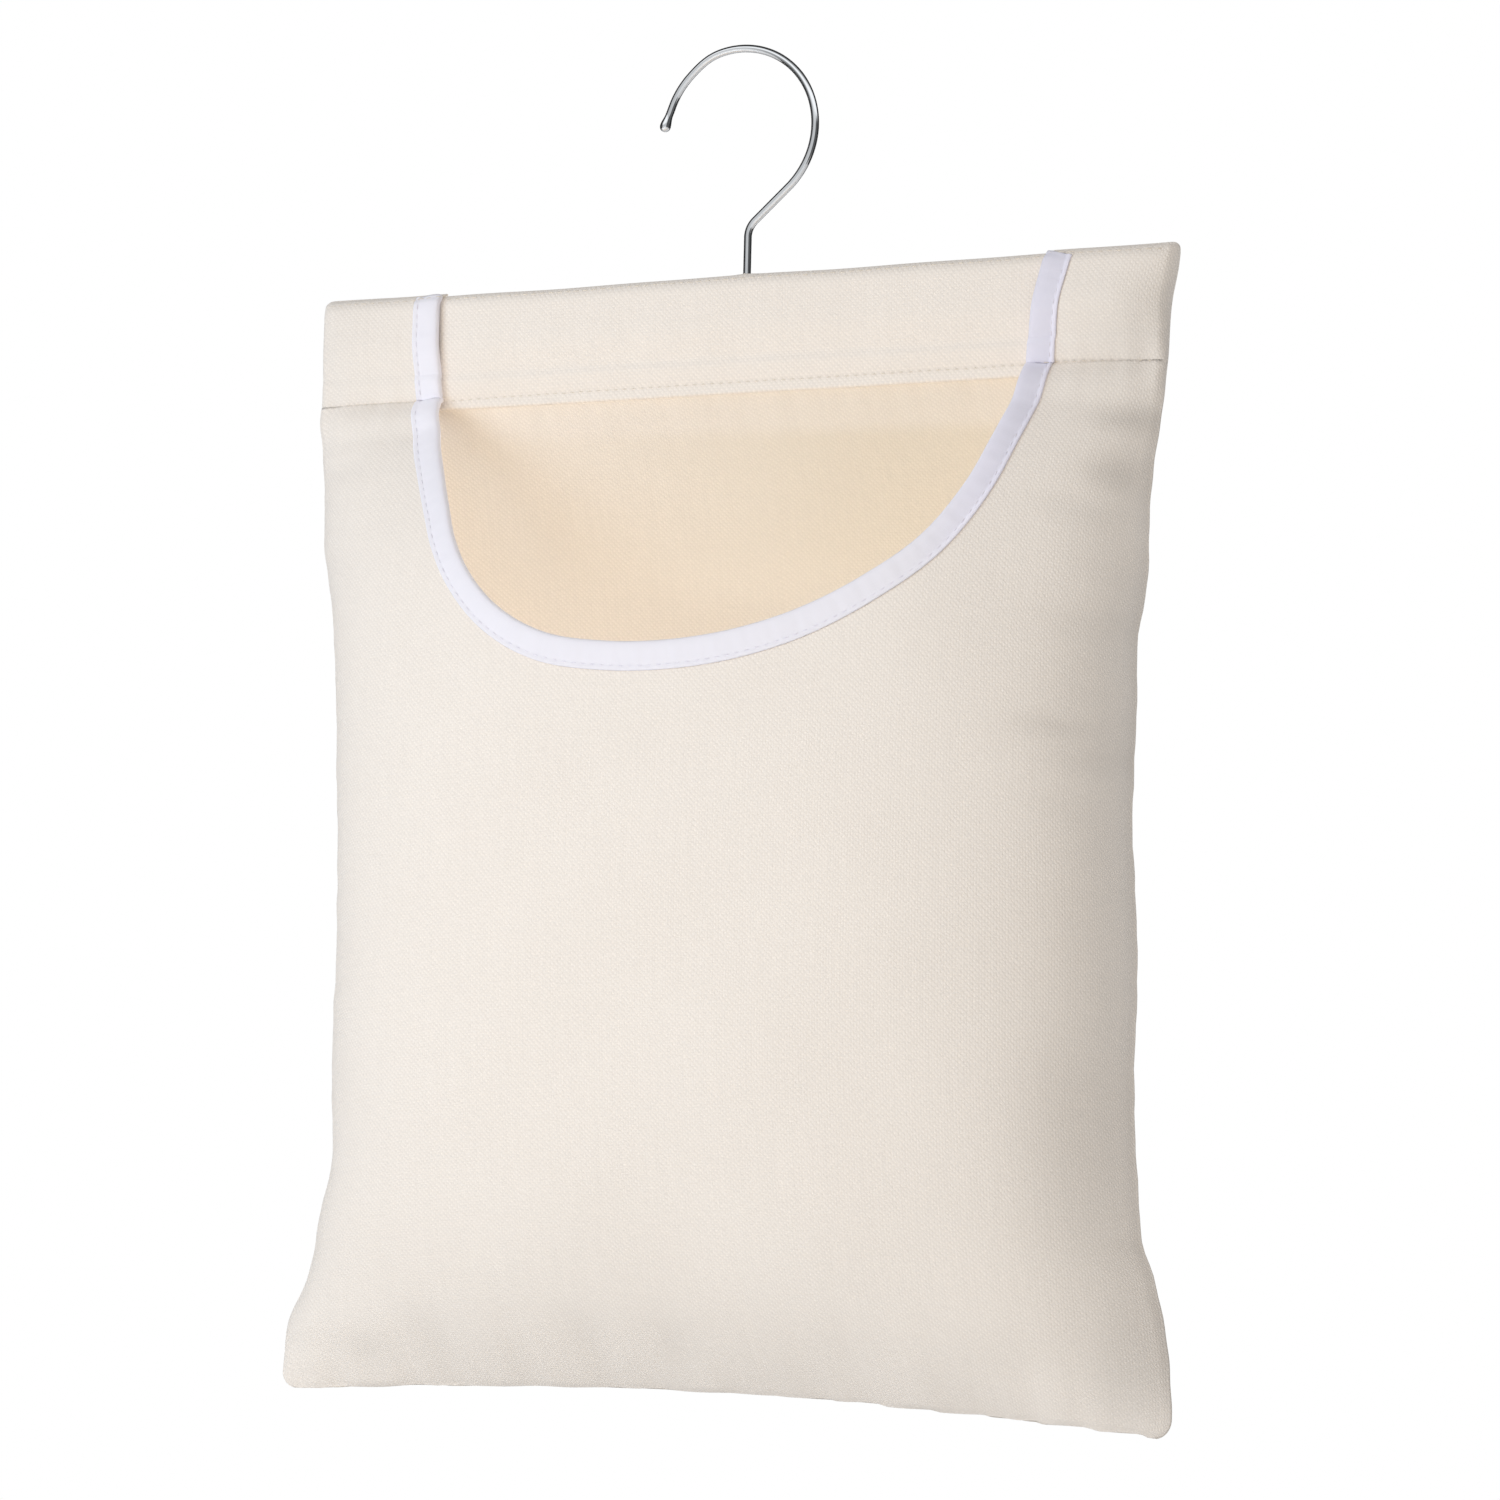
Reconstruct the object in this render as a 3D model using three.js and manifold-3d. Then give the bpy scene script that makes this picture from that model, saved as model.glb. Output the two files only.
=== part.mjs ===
// Peg bag: a canvas bag with a scooped, tape-bound mouth, held open along its top
// by a wooden bar in a sewn sleeve, and hung from a swivelling wire hook.
// Millimetres, +Z up, the front of the bag faces -Y. The origin is the point of the
// rail's line where the inside of the hook's crown rests on it.

import * as THREE from 'three';
import { mergeVertices } from 'three/addons/utils/BufferGeometryUtils.js';
import Module from 'manifold-3d';

const wasm = await Module();
wasm.setup();

// Cloth and clearances
const canvas = 1;
const tape = 0.5;
const fitGap = 0.3;
const seamHalfGap = fitGap / 2;
const weldDistance = 0.001;

// Outline of the bag
const bagTopDrop = 83;
const sleeveHeight = 40;
const pocketHeight = 366;
const topWidth = 338;
const stitchWidth = 334;
const waistWidth = 311;
const bottomWidth = 344;
const shoulderDraw = 150;
const bottomFlare = 85;
const bottomBow = 6;

// Swell of the pocket, and how far below the stitches or above the bottom seam it builds up
const frontSwell = 60;
const backSwell = 50;
const frontBuild = 40;
const backBuild = 60;
const bottomBuild = 46;

// Mouth, its binding, and the hem of the band behind it
const mouthWidth = 225;
const mouthTopWidth = 238;
const mouthDepth = 102;
const bindingWidth = 10;
const hemDrop = 4;
const hemHeight = 10;
const hemEase = 14;

// Wooden bar in the sleeve
const barLength = 330;
const barThickness = 10;
const barHeight = 20;
const barTopDrop = 2.5;
const barCornerRadius = 4.5;
const barEndChamfer = 2.5;
const sleeveTopRound = 6;
const sleeveEndRound = 4;

// Wire hook with a rounded tip, and the washer and peened head that carry the bar
const wireDiameter = 2.8;
const crownRadius = 30.2;
const stemOffset = 4.8;
const neckRadius = 8;
const neckAngle = THREE.MathUtils.degToRad(48);
const tipAngle = THREE.MathUtils.degToRad(175);
const tipDiameter = 3.7;
const washerDiameter = 8;
const washerThickness = 0.8;
const headDiameter = 5.2;
const headHeight = 1.8;

// How finely curved pieces are divided, and the powers of their curves
const wireSides = 10;
const wireSteps = 80;
const roundSides = 24;
const columns = 20;
const sleeveRows = 10;
const pocketRows = 22;
const mouthSteps = 44;
const mouthSleeveSteps = 3;
const crownPower = 2.6;
const drawPower = 1.5;
const bowPower = 3;
const steepestFactor = 1.8;

// Levels and places worked out from the sizes above
const overrun = bindingWidth;
const slopeStep = fitGap;
const wireRadius = wireDiameter / 2;
const bagTop = -bagTopDrop;
const stitchLevel = bagTop - sleeveHeight;
const barTop = bagTop - barTopDrop;
const barBottom = barTop - barHeight;
const barBottomDrop = barTopDrop + barHeight;
const barRoom = barThickness / 2 + fitGap + fitGap / 2;
const washerTop = barBottom - fitGap;
const headTop = washerTop - washerThickness - fitGap;
const crownLevel = wireRadius - crownRadius;
const farOut = frontSwell + backSwell;

const { clamp, lerp } = THREE.MathUtils;

// Turns a closed three.js geometry into a solid that can be cut and joined.
function solidOf(geometry) {
  const bare = geometry.index ? geometry.clone() : geometry;
  bare.deleteAttribute('normal');
  bare.deleteAttribute('uv');
  const merged = mergeVertices(bare, weldDistance);
  return new wasm.Manifold(new wasm.Mesh({
    numProp: 3,
    vertProperties: new Float32Array(merged.attributes.position.array),
    triVerts: new Uint32Array(merged.index.array),
  }));
}

// Turns a solid back into a geometry.
function geometryOf(solid) {
  const mesh = solid.getMesh();
  const geometry = new THREE.BufferGeometry();
  geometry.setAttribute('position', new THREE.BufferAttribute(new Float32Array(mesh.vertProperties), 3));
  geometry.setIndex(new THREE.BufferAttribute(new Uint32Array(mesh.triVerts), 1));
  geometry.computeVertexNormals();
  return geometry;
}

function meshOf(name, solid, color, roughness, metalness) {
  const mesh = new THREE.Mesh(geometryOf(solid), new THREE.MeshStandardMaterial({ color, roughness, metalness }));
  mesh.name = name;
  return mesh;
}

// A flat outline in X and Z, made into a prism that runs through the whole bag along Y.
function prismThroughBag(outline) {
  const geometry = new THREE.ExtrudeGeometry(new THREE.Shape(outline), { depth: 2 * farOut, bevelEnabled: false });
  geometry.rotateX(Math.PI / 2);
  geometry.translate(0, farOut, 0);
  return solidOf(geometry);
}

// Quarter round from 0 at the edge to 1 at the given distance from it.
function quarterRound(distance, radius) {
  const left = 1 - clamp(distance / radius, 0, 1);
  return Math.sqrt(1 - left * left);
}

// Half of the bag's width at a drop below its top edge: straight down the sleeve, drawn in
// at the waist where the pocket swells, and flared again to the corners of the bottom seam.
function halfWidthAt(drop) {
  if (drop <= sleeveHeight) {
    return lerp(topWidth, stitchWidth, drop / sleeveHeight) / 2;
  }
  const belowStitch = drop - sleeveHeight;
  const aboveBottom = pocketHeight - belowStitch;
  const drawn = Math.pow(1 - clamp(belowStitch / shoulderDraw, 0, 1), drawPower);
  const flared = Math.cos(clamp(aboveBottom / bottomFlare, 0, 1) * Math.PI / 2) ** 2;
  return (waistWidth + (stitchWidth - waistWidth) * drawn + (bottomWidth - waistWidth) * flared) / 2;
}

// Swell of one side of the pocket at a place across it, from -1 to 1, and a drop.
function swellAt(across, drop, side) {
  const belowStitch = Math.max(drop - sleeveHeight, 0);
  const aboveBottom = Math.max(pocketHeight - belowStitch, 0);
  const crown = 1 - Math.pow(Math.abs(across), crownPower);
  const built = 1 - Math.exp(-belowStitch / side.build);
  const closed = 1 - Math.exp(-aboveBottom / bottomBuild);
  return side.swell * crown * built * closed;
}

// How much longer a step square to the swollen cloth is when it is taken along Y.
function leanAt(across, drop, side) {
  if (drop < sleeveHeight) {
    return 1;
  }
  const acrossStep = slopeStep / halfWidthAt(drop);
  const inner = Math.abs(across) - acrossStep;
  const slopeAcross = (swellAt(inner, drop, side) - swellAt(inner + acrossStep, drop, side)) / slopeStep;
  const middle = clamp(drop, sleeveHeight + slopeStep, sleeveHeight + pocketHeight - slopeStep);
  const rise = swellAt(across, middle + slopeStep, side) - swellAt(across, middle - slopeStep, side);
  const slopeDown = rise / (2 * slopeStep);
  return Math.min(Math.hypot(1, slopeAcross, slopeDown), steepestFactor);
}

// Half of the room in the sleeve: closed at the top seam, at the side seams and at the
// line of stitches, and rounded over the bar between them.
function sleeveRoomAt(across, drop) {
  const fromSide = halfWidthAt(drop) * (1 - Math.abs(across));
  const overBar = quarterRound(drop, sleeveTopRound) * quarterRound(fromSide, sleeveEndRound);
  const closing = clamp((sleeveHeight - drop) / (sleeveHeight - barBottomDrop + barTopDrop), 0, 1);
  return seamHalfGap + (barRoom - seamHalfGap) * overBar * closing;
}

// The band is one layer of canvas, and two where its lower edge is turned up as a hem.
function bandThicknessAt(drop) {
  const intoHem = clamp((drop - sleeveHeight + hemHeight - hemDrop) / hemDrop, 0, 1);
  return canvas * (1 + intoHem);
}

// Distance of the inner face of each cloth layer from the middle plane of the bag.
const front = {
  swell: frontSwell,
  build: frontBuild,
  facing: -1,
  baseAt(across, drop) {
    const belowHem = (drop - sleeveHeight - hemDrop - canvas) / hemEase;
    const stacked = 1 - clamp(belowHem, 0, 1);
    const behind = bandThicknessAt(drop) + (2 * fitGap + tape) * leanAt(across, drop, front);
    return sleeveRoomAt(across, drop) + behind * stacked + swellAt(across, drop, front);
  },
};
const back = {
  swell: backSwell,
  build: backBuild,
  facing: 1,
  baseAt: (across, drop) => sleeveRoomAt(across, drop) + swellAt(across, drop, back),
};
const band = {
  swell: 0,
  build: frontBuild,
  facing: -1,
  baseAt: sleeveRoomAt,
};

// Drops of the grid's rows, closer together at the ends of each stretch.
function easedRows(start, length, count) {
  return Array.from({ length: count + 1 }, (_, row) => start + length * (1 - Math.cos(Math.PI * row / count)) / 2);
}

const sleeveDrops = easedRows(0, sleeveHeight, sleeveRows);
const pocketDrops = easedRows(sleeveHeight, pocketHeight, pocketRows).slice(1);
const panelDrops = [...sleeveDrops, ...pocketDrops];
const bandDrops = [...sleeveDrops, sleeveHeight + hemDrop];

// A layer of cloth as a closed shell on a grid, between two offsets from its inner face
// that are given as functions of the drop. The bottom seam bows up in its middle.
function clothShell(side, drops, innerOffsetAt, outerOffsetAt) {
  const rows = drops.length;
  const across = Array.from({ length: columns + 1 }, (_, column) => Math.sin(Math.PI * (column / columns - 1 / 2)));
  const positions = [];
  for (const offsetAt of [innerOffsetAt, outerOffsetAt]) {
    for (const drop of drops) {
      const belowStitch = Math.max(drop - sleeveHeight, 0);
      const bow = bottomBow * Math.pow(belowStitch / pocketHeight, bowPower);
      for (const place of across) {
        const depth = side.baseAt(place, drop) + offsetAt(drop) * leanAt(place, drop, side);
        positions.push(place * halfWidthAt(drop), side.facing * depth, bagTop - drop + bow * (1 - place * place));
      }
    }
  }
  const at = (layer, row, column) => (layer * rows + row) * (columns + 1) + column;
  const triangles = [];
  const quad = (a, b, c, d) => {
    const corners = side.facing > 0 ? [a, b, c, a, c, d] : [a, c, b, a, d, c];
    triangles.push(...corners);
  };
  for (let row = 0; row < rows - 1; row += 1) {
    for (let column = 0; column < columns; column += 1) {
      quad(at(1, row, column), at(1, row, column + 1), at(1, row + 1, column + 1), at(1, row + 1, column));
      quad(at(0, row, column), at(0, row + 1, column), at(0, row + 1, column + 1), at(0, row, column + 1));
    }
    quad(at(0, row, 0), at(1, row, 0), at(1, row + 1, 0), at(0, row + 1, 0));
    quad(at(1, row, columns), at(0, row, columns), at(0, row + 1, columns), at(1, row + 1, columns));
  }
  for (let column = 0; column < columns; column += 1) {
    quad(at(0, 0, column), at(0, 0, column + 1), at(1, 0, column + 1), at(1, 0, column));
    quad(at(1, rows - 1, column), at(1, rows - 1, column + 1), at(0, rows - 1, column + 1), at(0, rows - 1, column));
  }
  const geometry = new THREE.BufferGeometry();
  geometry.setAttribute('position', new THREE.Float32BufferAttribute(positions, 3));
  geometry.setIndex(triangles);
  return solidOf(geometry);
}

// The edge of the mouth seen from the front, from the top left down round the scoop to the
// top right: a half ellipse under the stitches, and sides that lean out up the sleeve.
// The offset moves the edge outwards, square to itself.
function mouthEdge(offset) {
  const halfMouth = mouthWidth / 2;
  const lean = (mouthTopWidth - mouthWidth) / 2;
  const points = [];
  const sidePoint = (hand, step) => {
    const upShare = step / mouthSleeveSteps;
    const level = stitchLevel + (sleeveHeight + overrun) * upShare;
    const riseShare = (level - stitchLevel) / sleeveHeight;
    return new THREE.Vector2(hand * (halfMouth + lean * riseShare * riseShare), level);
  };
  for (let step = mouthSleeveSteps; step > 0; step -= 1) {
    points.push(sidePoint(-1, step));
  }
  for (let step = 0; step <= mouthSteps; step += 1) {
    const turn = Math.PI * step / mouthSteps;
    points.push(new THREE.Vector2(-halfMouth * Math.cos(turn), stitchLevel - mouthDepth * Math.sin(turn)));
  }
  for (let step = 1; step <= mouthSleeveSteps; step += 1) {
    points.push(sidePoint(1, step));
  }
  return points.map((point, index) => {
    const before = points[Math.max(index - 1, 0)];
    const after = points[Math.min(index + 1, points.length - 1)];
    const along = after.clone().sub(before).normalize();
    return new THREE.Vector2(point.x + along.y * offset, point.y - along.x * offset);
  });
}

// A strip that follows the mouth, between two offsets from its edge.
function mouthStrip(from, to) {
  return prismThroughBag([...mouthEdge(from), ...mouthEdge(to).reverse()]);
}

// The round gap in the top seam that the hook's stem comes out of.
function stemSlot() {
  const slot = new THREE.BoxGeometry(wireDiameter + 2 * fitGap, 2 * farOut, 2 * barTopDrop);
  slot.translate(stemOffset, 0, bagTop);
  return solidOf(slot);
}

function makeFrontPanel() {
  const cloth = clothShell(front, panelDrops, () => 0, () => canvas);
  return cloth.subtract(prismThroughBag(mouthEdge(tape + fitGap)));
}

function makeBackPanel() {
  return clothShell(back, panelDrops, () => 0, () => canvas).subtract(stemSlot());
}

function makeTopBand() {
  return clothShell(band, bandDrops, () => 0, bandThicknessAt).subtract(stemSlot());
}

// The tape is folded over the cut edge of the front panel: a strip as thick as both its
// leaves and the cloth between them, opened by the slot that the cloth lies in.
function makeMouthBinding() {
  const reach = fitGap + tape;
  const folded = clothShell(front, panelDrops, () => -reach, () => canvas + reach);
  const slot = clothShell(front, panelDrops, () => -fitGap, () => canvas + fitGap);
  const clothSide = slot.subtract(prismThroughBag(mouthEdge(tape)));
  return folded.intersect(mouthStrip(0, bindingWidth)).subtract(clothSide);
}

// A rounded batten with chamfered ends and a bore for the hook's stem.
function makeHangerBar() {
  const halfHeight = barHeight / 2 - barEndChamfer;
  const halfThickness = barThickness / 2 - barEndChamfer;
  const round = barCornerRadius - barEndChamfer;
  const section = new THREE.Shape();
  section.moveTo(-halfThickness + round, -halfHeight);
  section.lineTo(halfThickness - round, -halfHeight);
  section.absarc(halfThickness - round, -halfHeight + round, round, -Math.PI / 2, 0);
  section.lineTo(halfThickness, halfHeight - round);
  section.absarc(halfThickness - round, halfHeight - round, round, 0, Math.PI / 2);
  section.lineTo(-halfThickness + round, halfHeight);
  section.absarc(-halfThickness + round, halfHeight - round, round, Math.PI / 2, Math.PI);
  section.lineTo(-halfThickness, -halfHeight + round);
  section.absarc(-halfThickness + round, -halfHeight + round, round, Math.PI, 3 * Math.PI / 2);
  const batten = new THREE.ExtrudeGeometry(section, {
    depth: barLength - 2 * barEndChamfer,
    bevelThickness: barEndChamfer,
    bevelSize: barEndChamfer,
    bevelSegments: 1,
    curveSegments: 4,
  });
  batten.translate(0, 0, barEndChamfer - barLength / 2);
  batten.rotateX(Math.PI / 2);
  batten.rotateZ(Math.PI / 2);
  batten.translate(0, 0, barTop - barHeight / 2);
  const bore = new THREE.CylinderGeometry(wireRadius + fitGap, wireRadius + fitGap, 2 * barHeight, roundSides);
  bore.rotateX(Math.PI / 2);
  bore.translate(stemOffset, 0, barTop - barHeight / 2);
  return solidOf(batten).subtract(solidOf(bore));
}

// The middle line of the wire: round the crown from the tip, straight down to the neck,
// round the neck, and straight down the stem to its head.
class WireLine extends THREE.Curve {
  constructor() {
    super();
    const crownTurn = tipAngle + neckAngle;
    this.neckStart = new THREE.Vector3(crownRadius * Math.cos(neckAngle), 0, crownLevel - crownRadius * Math.sin(neckAngle));
    this.slope = new THREE.Vector3(-Math.sin(neckAngle), 0, -Math.cos(neckAngle));
    const neckTangent = neckRadius * Math.tan(neckAngle / 2);
    const slopeLength = (this.neckStart.x - stemOffset) / Math.sin(neckAngle) - neckTangent;
    const slopeEnd = this.neckStart.clone().addScaledVector(this.slope, slopeLength);
    this.stemTop = slopeEnd.z - neckTangent * (1 + Math.cos(neckAngle));
    this.lengths = [crownRadius * crownTurn, slopeLength, neckRadius * neckAngle, this.stemTop - headTop];
    this.total = this.lengths.reduce((sum, length) => sum + length, 0);
  }

  getPoint(t, target = new THREE.Vector3()) {
    let along = clamp(t, 0, 1) * this.total;
    const [crown, slope, neck] = this.lengths;
    if (along <= crown) {
      const angle = tipAngle - along / crownRadius;
      return target.set(crownRadius * Math.cos(angle), 0, crownLevel + crownRadius * Math.sin(angle));
    }
    along -= crown;
    if (along <= slope) {
      return target.copy(this.neckStart).addScaledVector(this.slope, along);
    }
    along -= slope;
    if (along <= neck) {
      const left = neckAngle - along / neckRadius;
      const x = stemOffset + neckRadius * (1 - Math.cos(left));
      return target.set(x, 0, this.stemTop + neckRadius * Math.sin(left));
    }
    return target.set(stemOffset, 0, this.stemTop - (along - neck));
  }
}

function makeHook() {
  const line = new WireLine();
  const section = Array.from({ length: wireSides }, (_, side) => {
    const turn = 2 * Math.PI * side / wireSides;
    return new THREE.Vector2(wireRadius * Math.cos(turn), wireRadius * Math.sin(turn));
  });
  const wire = new THREE.ExtrudeGeometry(new THREE.Shape(section), { steps: wireSteps, extrudePath: line });
  const tip = new THREE.SphereGeometry(tipDiameter / 2, wireSides, wireSides);
  tip.translate(...line.getPoint(0).toArray());
  const headProfile = [
    new THREE.Vector2(0, -headHeight),
    new THREE.Vector2(headDiameter / 4, -headHeight),
    new THREE.Vector2(headDiameter / 2, -headHeight / 2),
    new THREE.Vector2(headDiameter / 2, 0),
    new THREE.Vector2(0, 0),
  ];
  const head = new THREE.LatheGeometry(headProfile, roundSides);
  head.rotateX(Math.PI / 2);
  head.translate(stemOffset, 0, headTop);
  return solidOf(wire).add(solidOf(tip)).add(solidOf(head));
}

function makeHookWasher() {
  const inner = wireRadius + fitGap;
  const outer = washerDiameter / 2;
  const profile = [
    new THREE.Vector2(inner, -washerThickness),
    new THREE.Vector2(outer, -washerThickness),
    new THREE.Vector2(outer, 0),
    new THREE.Vector2(inner, 0),
    new THREE.Vector2(inner, -washerThickness),
  ];
  const washer = new THREE.LatheGeometry(profile, roundSides);
  washer.rotateX(Math.PI / 2);
  washer.translate(stemOffset, 0, washerTop);
  return solidOf(washer);
}

// Assembly: the hook carries the washer, and the bag turns on it
const hookGroup = new THREE.Group();
hookGroup.add(meshOf('hook', makeHook(), 0xc8ccd0, 0.12, 1));
hookGroup.add(meshOf('hook_washer', makeHookWasher(), 0xb9bcbf, 0.3, 1));

const bagGroup = new THREE.Group();
bagGroup.add(meshOf('hanger_bar', makeHangerBar(), 0xd2b48c, 0.6, 0));
bagGroup.add(meshOf('back_panel', makeBackPanel(), 0xeae0d0, 0.9, 0));
bagGroup.add(meshOf('top_band', makeTopBand(), 0xebe4da, 0.9, 0));
bagGroup.add(meshOf('front_panel', makeFrontPanel(), 0xefe9e2, 0.9, 0));
bagGroup.add(meshOf('mouth_binding', makeMouthBinding(), 0xf1eef4, 0.8, 0));

const group = new THREE.Group();
group.add(hookGroup, bagGroup);

export default group;
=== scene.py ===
"""A peg bag of natural canvas on a chrome wire hook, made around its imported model.

Metres, Z up. The front of the bag faces -Y, and the origin is where the hook rests on its
rail. A place on the cloth is given by x, across the bag, and by drop, down from its top edge.
"""

import math

import bpy
import numpy as np
from mathutils import Matrix, Vector


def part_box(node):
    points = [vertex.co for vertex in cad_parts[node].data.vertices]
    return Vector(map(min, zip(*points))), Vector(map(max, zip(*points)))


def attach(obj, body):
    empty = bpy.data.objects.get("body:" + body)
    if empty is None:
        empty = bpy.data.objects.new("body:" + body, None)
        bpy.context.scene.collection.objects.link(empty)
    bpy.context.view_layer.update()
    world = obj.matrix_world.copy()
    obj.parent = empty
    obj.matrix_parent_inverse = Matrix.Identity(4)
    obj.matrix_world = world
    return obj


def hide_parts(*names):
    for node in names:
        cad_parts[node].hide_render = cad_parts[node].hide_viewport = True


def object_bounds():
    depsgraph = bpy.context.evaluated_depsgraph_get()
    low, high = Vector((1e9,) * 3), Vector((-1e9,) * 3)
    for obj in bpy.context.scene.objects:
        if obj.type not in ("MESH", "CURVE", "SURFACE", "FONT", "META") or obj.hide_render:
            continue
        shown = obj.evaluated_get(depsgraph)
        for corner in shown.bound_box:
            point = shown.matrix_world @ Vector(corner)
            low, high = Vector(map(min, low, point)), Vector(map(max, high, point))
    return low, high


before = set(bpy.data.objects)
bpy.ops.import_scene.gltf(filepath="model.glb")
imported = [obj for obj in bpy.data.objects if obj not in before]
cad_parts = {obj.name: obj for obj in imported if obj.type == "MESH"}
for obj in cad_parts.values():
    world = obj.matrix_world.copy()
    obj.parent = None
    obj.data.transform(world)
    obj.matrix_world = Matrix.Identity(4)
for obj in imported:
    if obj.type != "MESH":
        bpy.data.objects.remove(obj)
cad_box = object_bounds()


def millimetres(*rows):
    """Rows of lengths in millimetres, as an array of metres."""
    return np.array(rows) * 0.001


# Outline of the bag
BAG_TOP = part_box("back_panel")[1].z
SLEEVE_HEIGHT = 0.040
POCKET_HEIGHT = 0.366
BAG_HEIGHT = SLEEVE_HEIGHT + POCKET_HEIGHT
TOP_WIDTH = 0.338
STITCH_WIDTH = 0.334
WAIST_WIDTH = 0.311
BOTTOM_WIDTH = 0.344
SHOULDER_DRAW = 0.150
BOTTOM_FLARE = 0.085
BOTTOM_BOW = 0.006
TOP_CORNER = 0.003
BOTTOM_CORNER = 0.0065
SAW_STEP = 0.0010
SAW_PITCH = 0.0190
DRAW_POWER = 1.5
BOW_POWER = 3

# Drop and half width of the hung bag, left and right of the hook, wherever its outline turns
LEFT_EDGE = millimetres(
    (0, 168.0), (26, 168.1), (38, 168.1), (45, 168.8), (57, 167.3), (77, 165.9), (103, 163.5),
    (117, 160.0), (140, 157.0), (168, 154.8), (203, 152.3), (300, 152.0), (324, 151.7), (340, 156.5),
    (353, 158.5), (366, 162.2), (379, 168.6), (406, 171.7),
)
RIGHT_EDGE = millimetres(
    (0, 169.0), (8, 168.1), (18, 166.2), (41, 164.7), (69, 161.3), (85, 159.3), (120, 158.2),
    (138, 155.0), (150, 155.5), (178, 154.8), (200, 154.5), (240, 156.9), (303, 157.0), (330, 159.2),
    (341, 160.1), (354, 165.1), (377, 170.0), (406, 172.2),
)

# Swell of the two sides, and how fast it builds up from the stitches and the bottom seam
SWELL = {"front": 0.060, "back": 0.050}
BUILD = {"front": 0.040, "back": 0.060}
BOTTOM_BUILD = 0.046
DOME_SHARE = 0.65
DOME_POWER = 3.2
EDGE_POWER = 18
STEEPEST = 1.8

# Heights of puckers and waves, how far puckers reach in, and how far edges wander and tilt
SIDE_PUCKER = 0.00055
SIDE_PUCKER_REACH = 0.013
BOTTOM_PUCKER = 0.0013
BOTTOM_PUCKER_REACH = 0.014
STITCH_PUCKER = 0.00040
STITCH_PUCKER_REACH = 0.010
POCKET_WAVE = 0.0007
SLEEVE_WAVE = 0.00018
BAND_WAVE = 0.00015
EDGE_WANDER = 0.00022
HEM_WANDER = 0.00035
TOP_TILT = 0.0013
BOTTOM_TILT = 0.0025

# Cloth, and the room that its layers keep
CANVAS_ROOM = 0.001
CANVAS_THICK = 0.0008
RIM_REACH = 0.35 * CANVAS_THICK
TAPE_ROOM = 0.0005
TAPE_THICK = 0.0005
FIT_GAP = 0.0003
SEAM_GAP = 0.00015
SIDE_ROLL = 0.0030
TOP_ROLL = 0.0022
BOTTOM_ROLL = 0.0020
SHOULDER_RISE = 0.0009

# Sleeve over the wooden bar
BAR_LOW, BAR_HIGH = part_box("hanger_bar")
BAR_ROOM = (BAR_HIGH.y - BAR_LOW.y) / 2 + 1.5 * FIT_GAP
BAR_BOTTOM_DROP = BAG_TOP - BAR_LOW.z
BAR_TOP_DROP = BAG_TOP - BAR_HIGH.z
SLEEVE_TOP_ROUND = 0.006
SLEEVE_END_ROUND = 0.0107
SLEEVE_SINK = 0.020
SLEEVE_PUFF = 0.0042

# Mouth, binding and hem
MOUTH_HALF = 0.1135
MOUTH_LEAN_LEFT = 0.0010
MOUTH_LEAN_RIGHT = 0.0078
MOUTH_DEPTH = 0.0995
MOUTH_SHAPE = (
    # share of the turn from left to right, and how far out the edge is there
    (0.00, 1.014), (0.04, 0.980), (0.07, 0.961), (0.10, 0.947), (0.135, 0.944), (0.165, 0.951),
    (0.20, 0.973), (0.25, 1.006), (0.31, 1.033), (0.37, 1.037), (0.44, 1.011), (0.50, 0.996),
    (0.58, 0.992), (0.65, 0.999), (0.72, 1.012), (0.78, 1.028), (0.85, 1.021), (0.92, 1.006),
    (0.96, 1.008), (1.00, 1.006),
)
BINDING_WIDTH = 0.0098
TAPE_PULL = (
    # share of the turn, and the width of the tape there, pulled narrower round the bends
    (0.00, 1.06), (0.12, 1.04), (0.25, 0.98), (0.38, 1.06), (0.50, 1.08), (0.62, 1.08), (0.72, 1.02),
    (0.80, 0.98), (0.90, 1.03), (1.00, 1.06),
)
HEM_DROP = 0.0028
HEM_HEIGHT = 0.010
HEM_EASE = 0.014
HEM_LOW = SLEEVE_HEIGHT + HEM_DROP
FOLD_TURN = np.linspace(0, np.pi, 9)[1:-1]
TAPE_LEVEL = CANVAS_THICK / 2 + TAPE_THICK / 2 + 0.00008
TAPE_TOP_DROP = 0.0011
TAPE_FOLD = 0.0011
TAPE_FOLD_DEPTH = 0.00085
TAPE_PUFF = 0.00070
TAPE_LIP = 0.00030
TAPE_GROOVE = 0.00016
TAPE_RIPPLE = 0.00009
TAPE_CROSSING = 0.00022
EDGE_STITCH = 0.0083

# Thread, and the drops of the sleeve's stitches from left to right
SLEEVE_STITCH = millimetres(
    (-168, 39.8), (-129, 40.1), (-100, 39.5), (-40, 39.1), (40, 39.0), (100, 38.9), (128, 38.9),
    (168, 40.7),
)
STITCH_PITCH = 0.0035
STITCH_LENGTH = 0.0028
THREAD_RADIUS = 0.00019
THREAD_SINK = 0.0001
DIRECTION_STEP = 0.0005
TOP_STITCH_DROP = 0.0021
STITCH_ARCH = 0.00045
DEEP_GROOVE = 0.0004
SHALLOW_GROOVE = 0.0003
GROOVE_REACH = 0.0009

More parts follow.
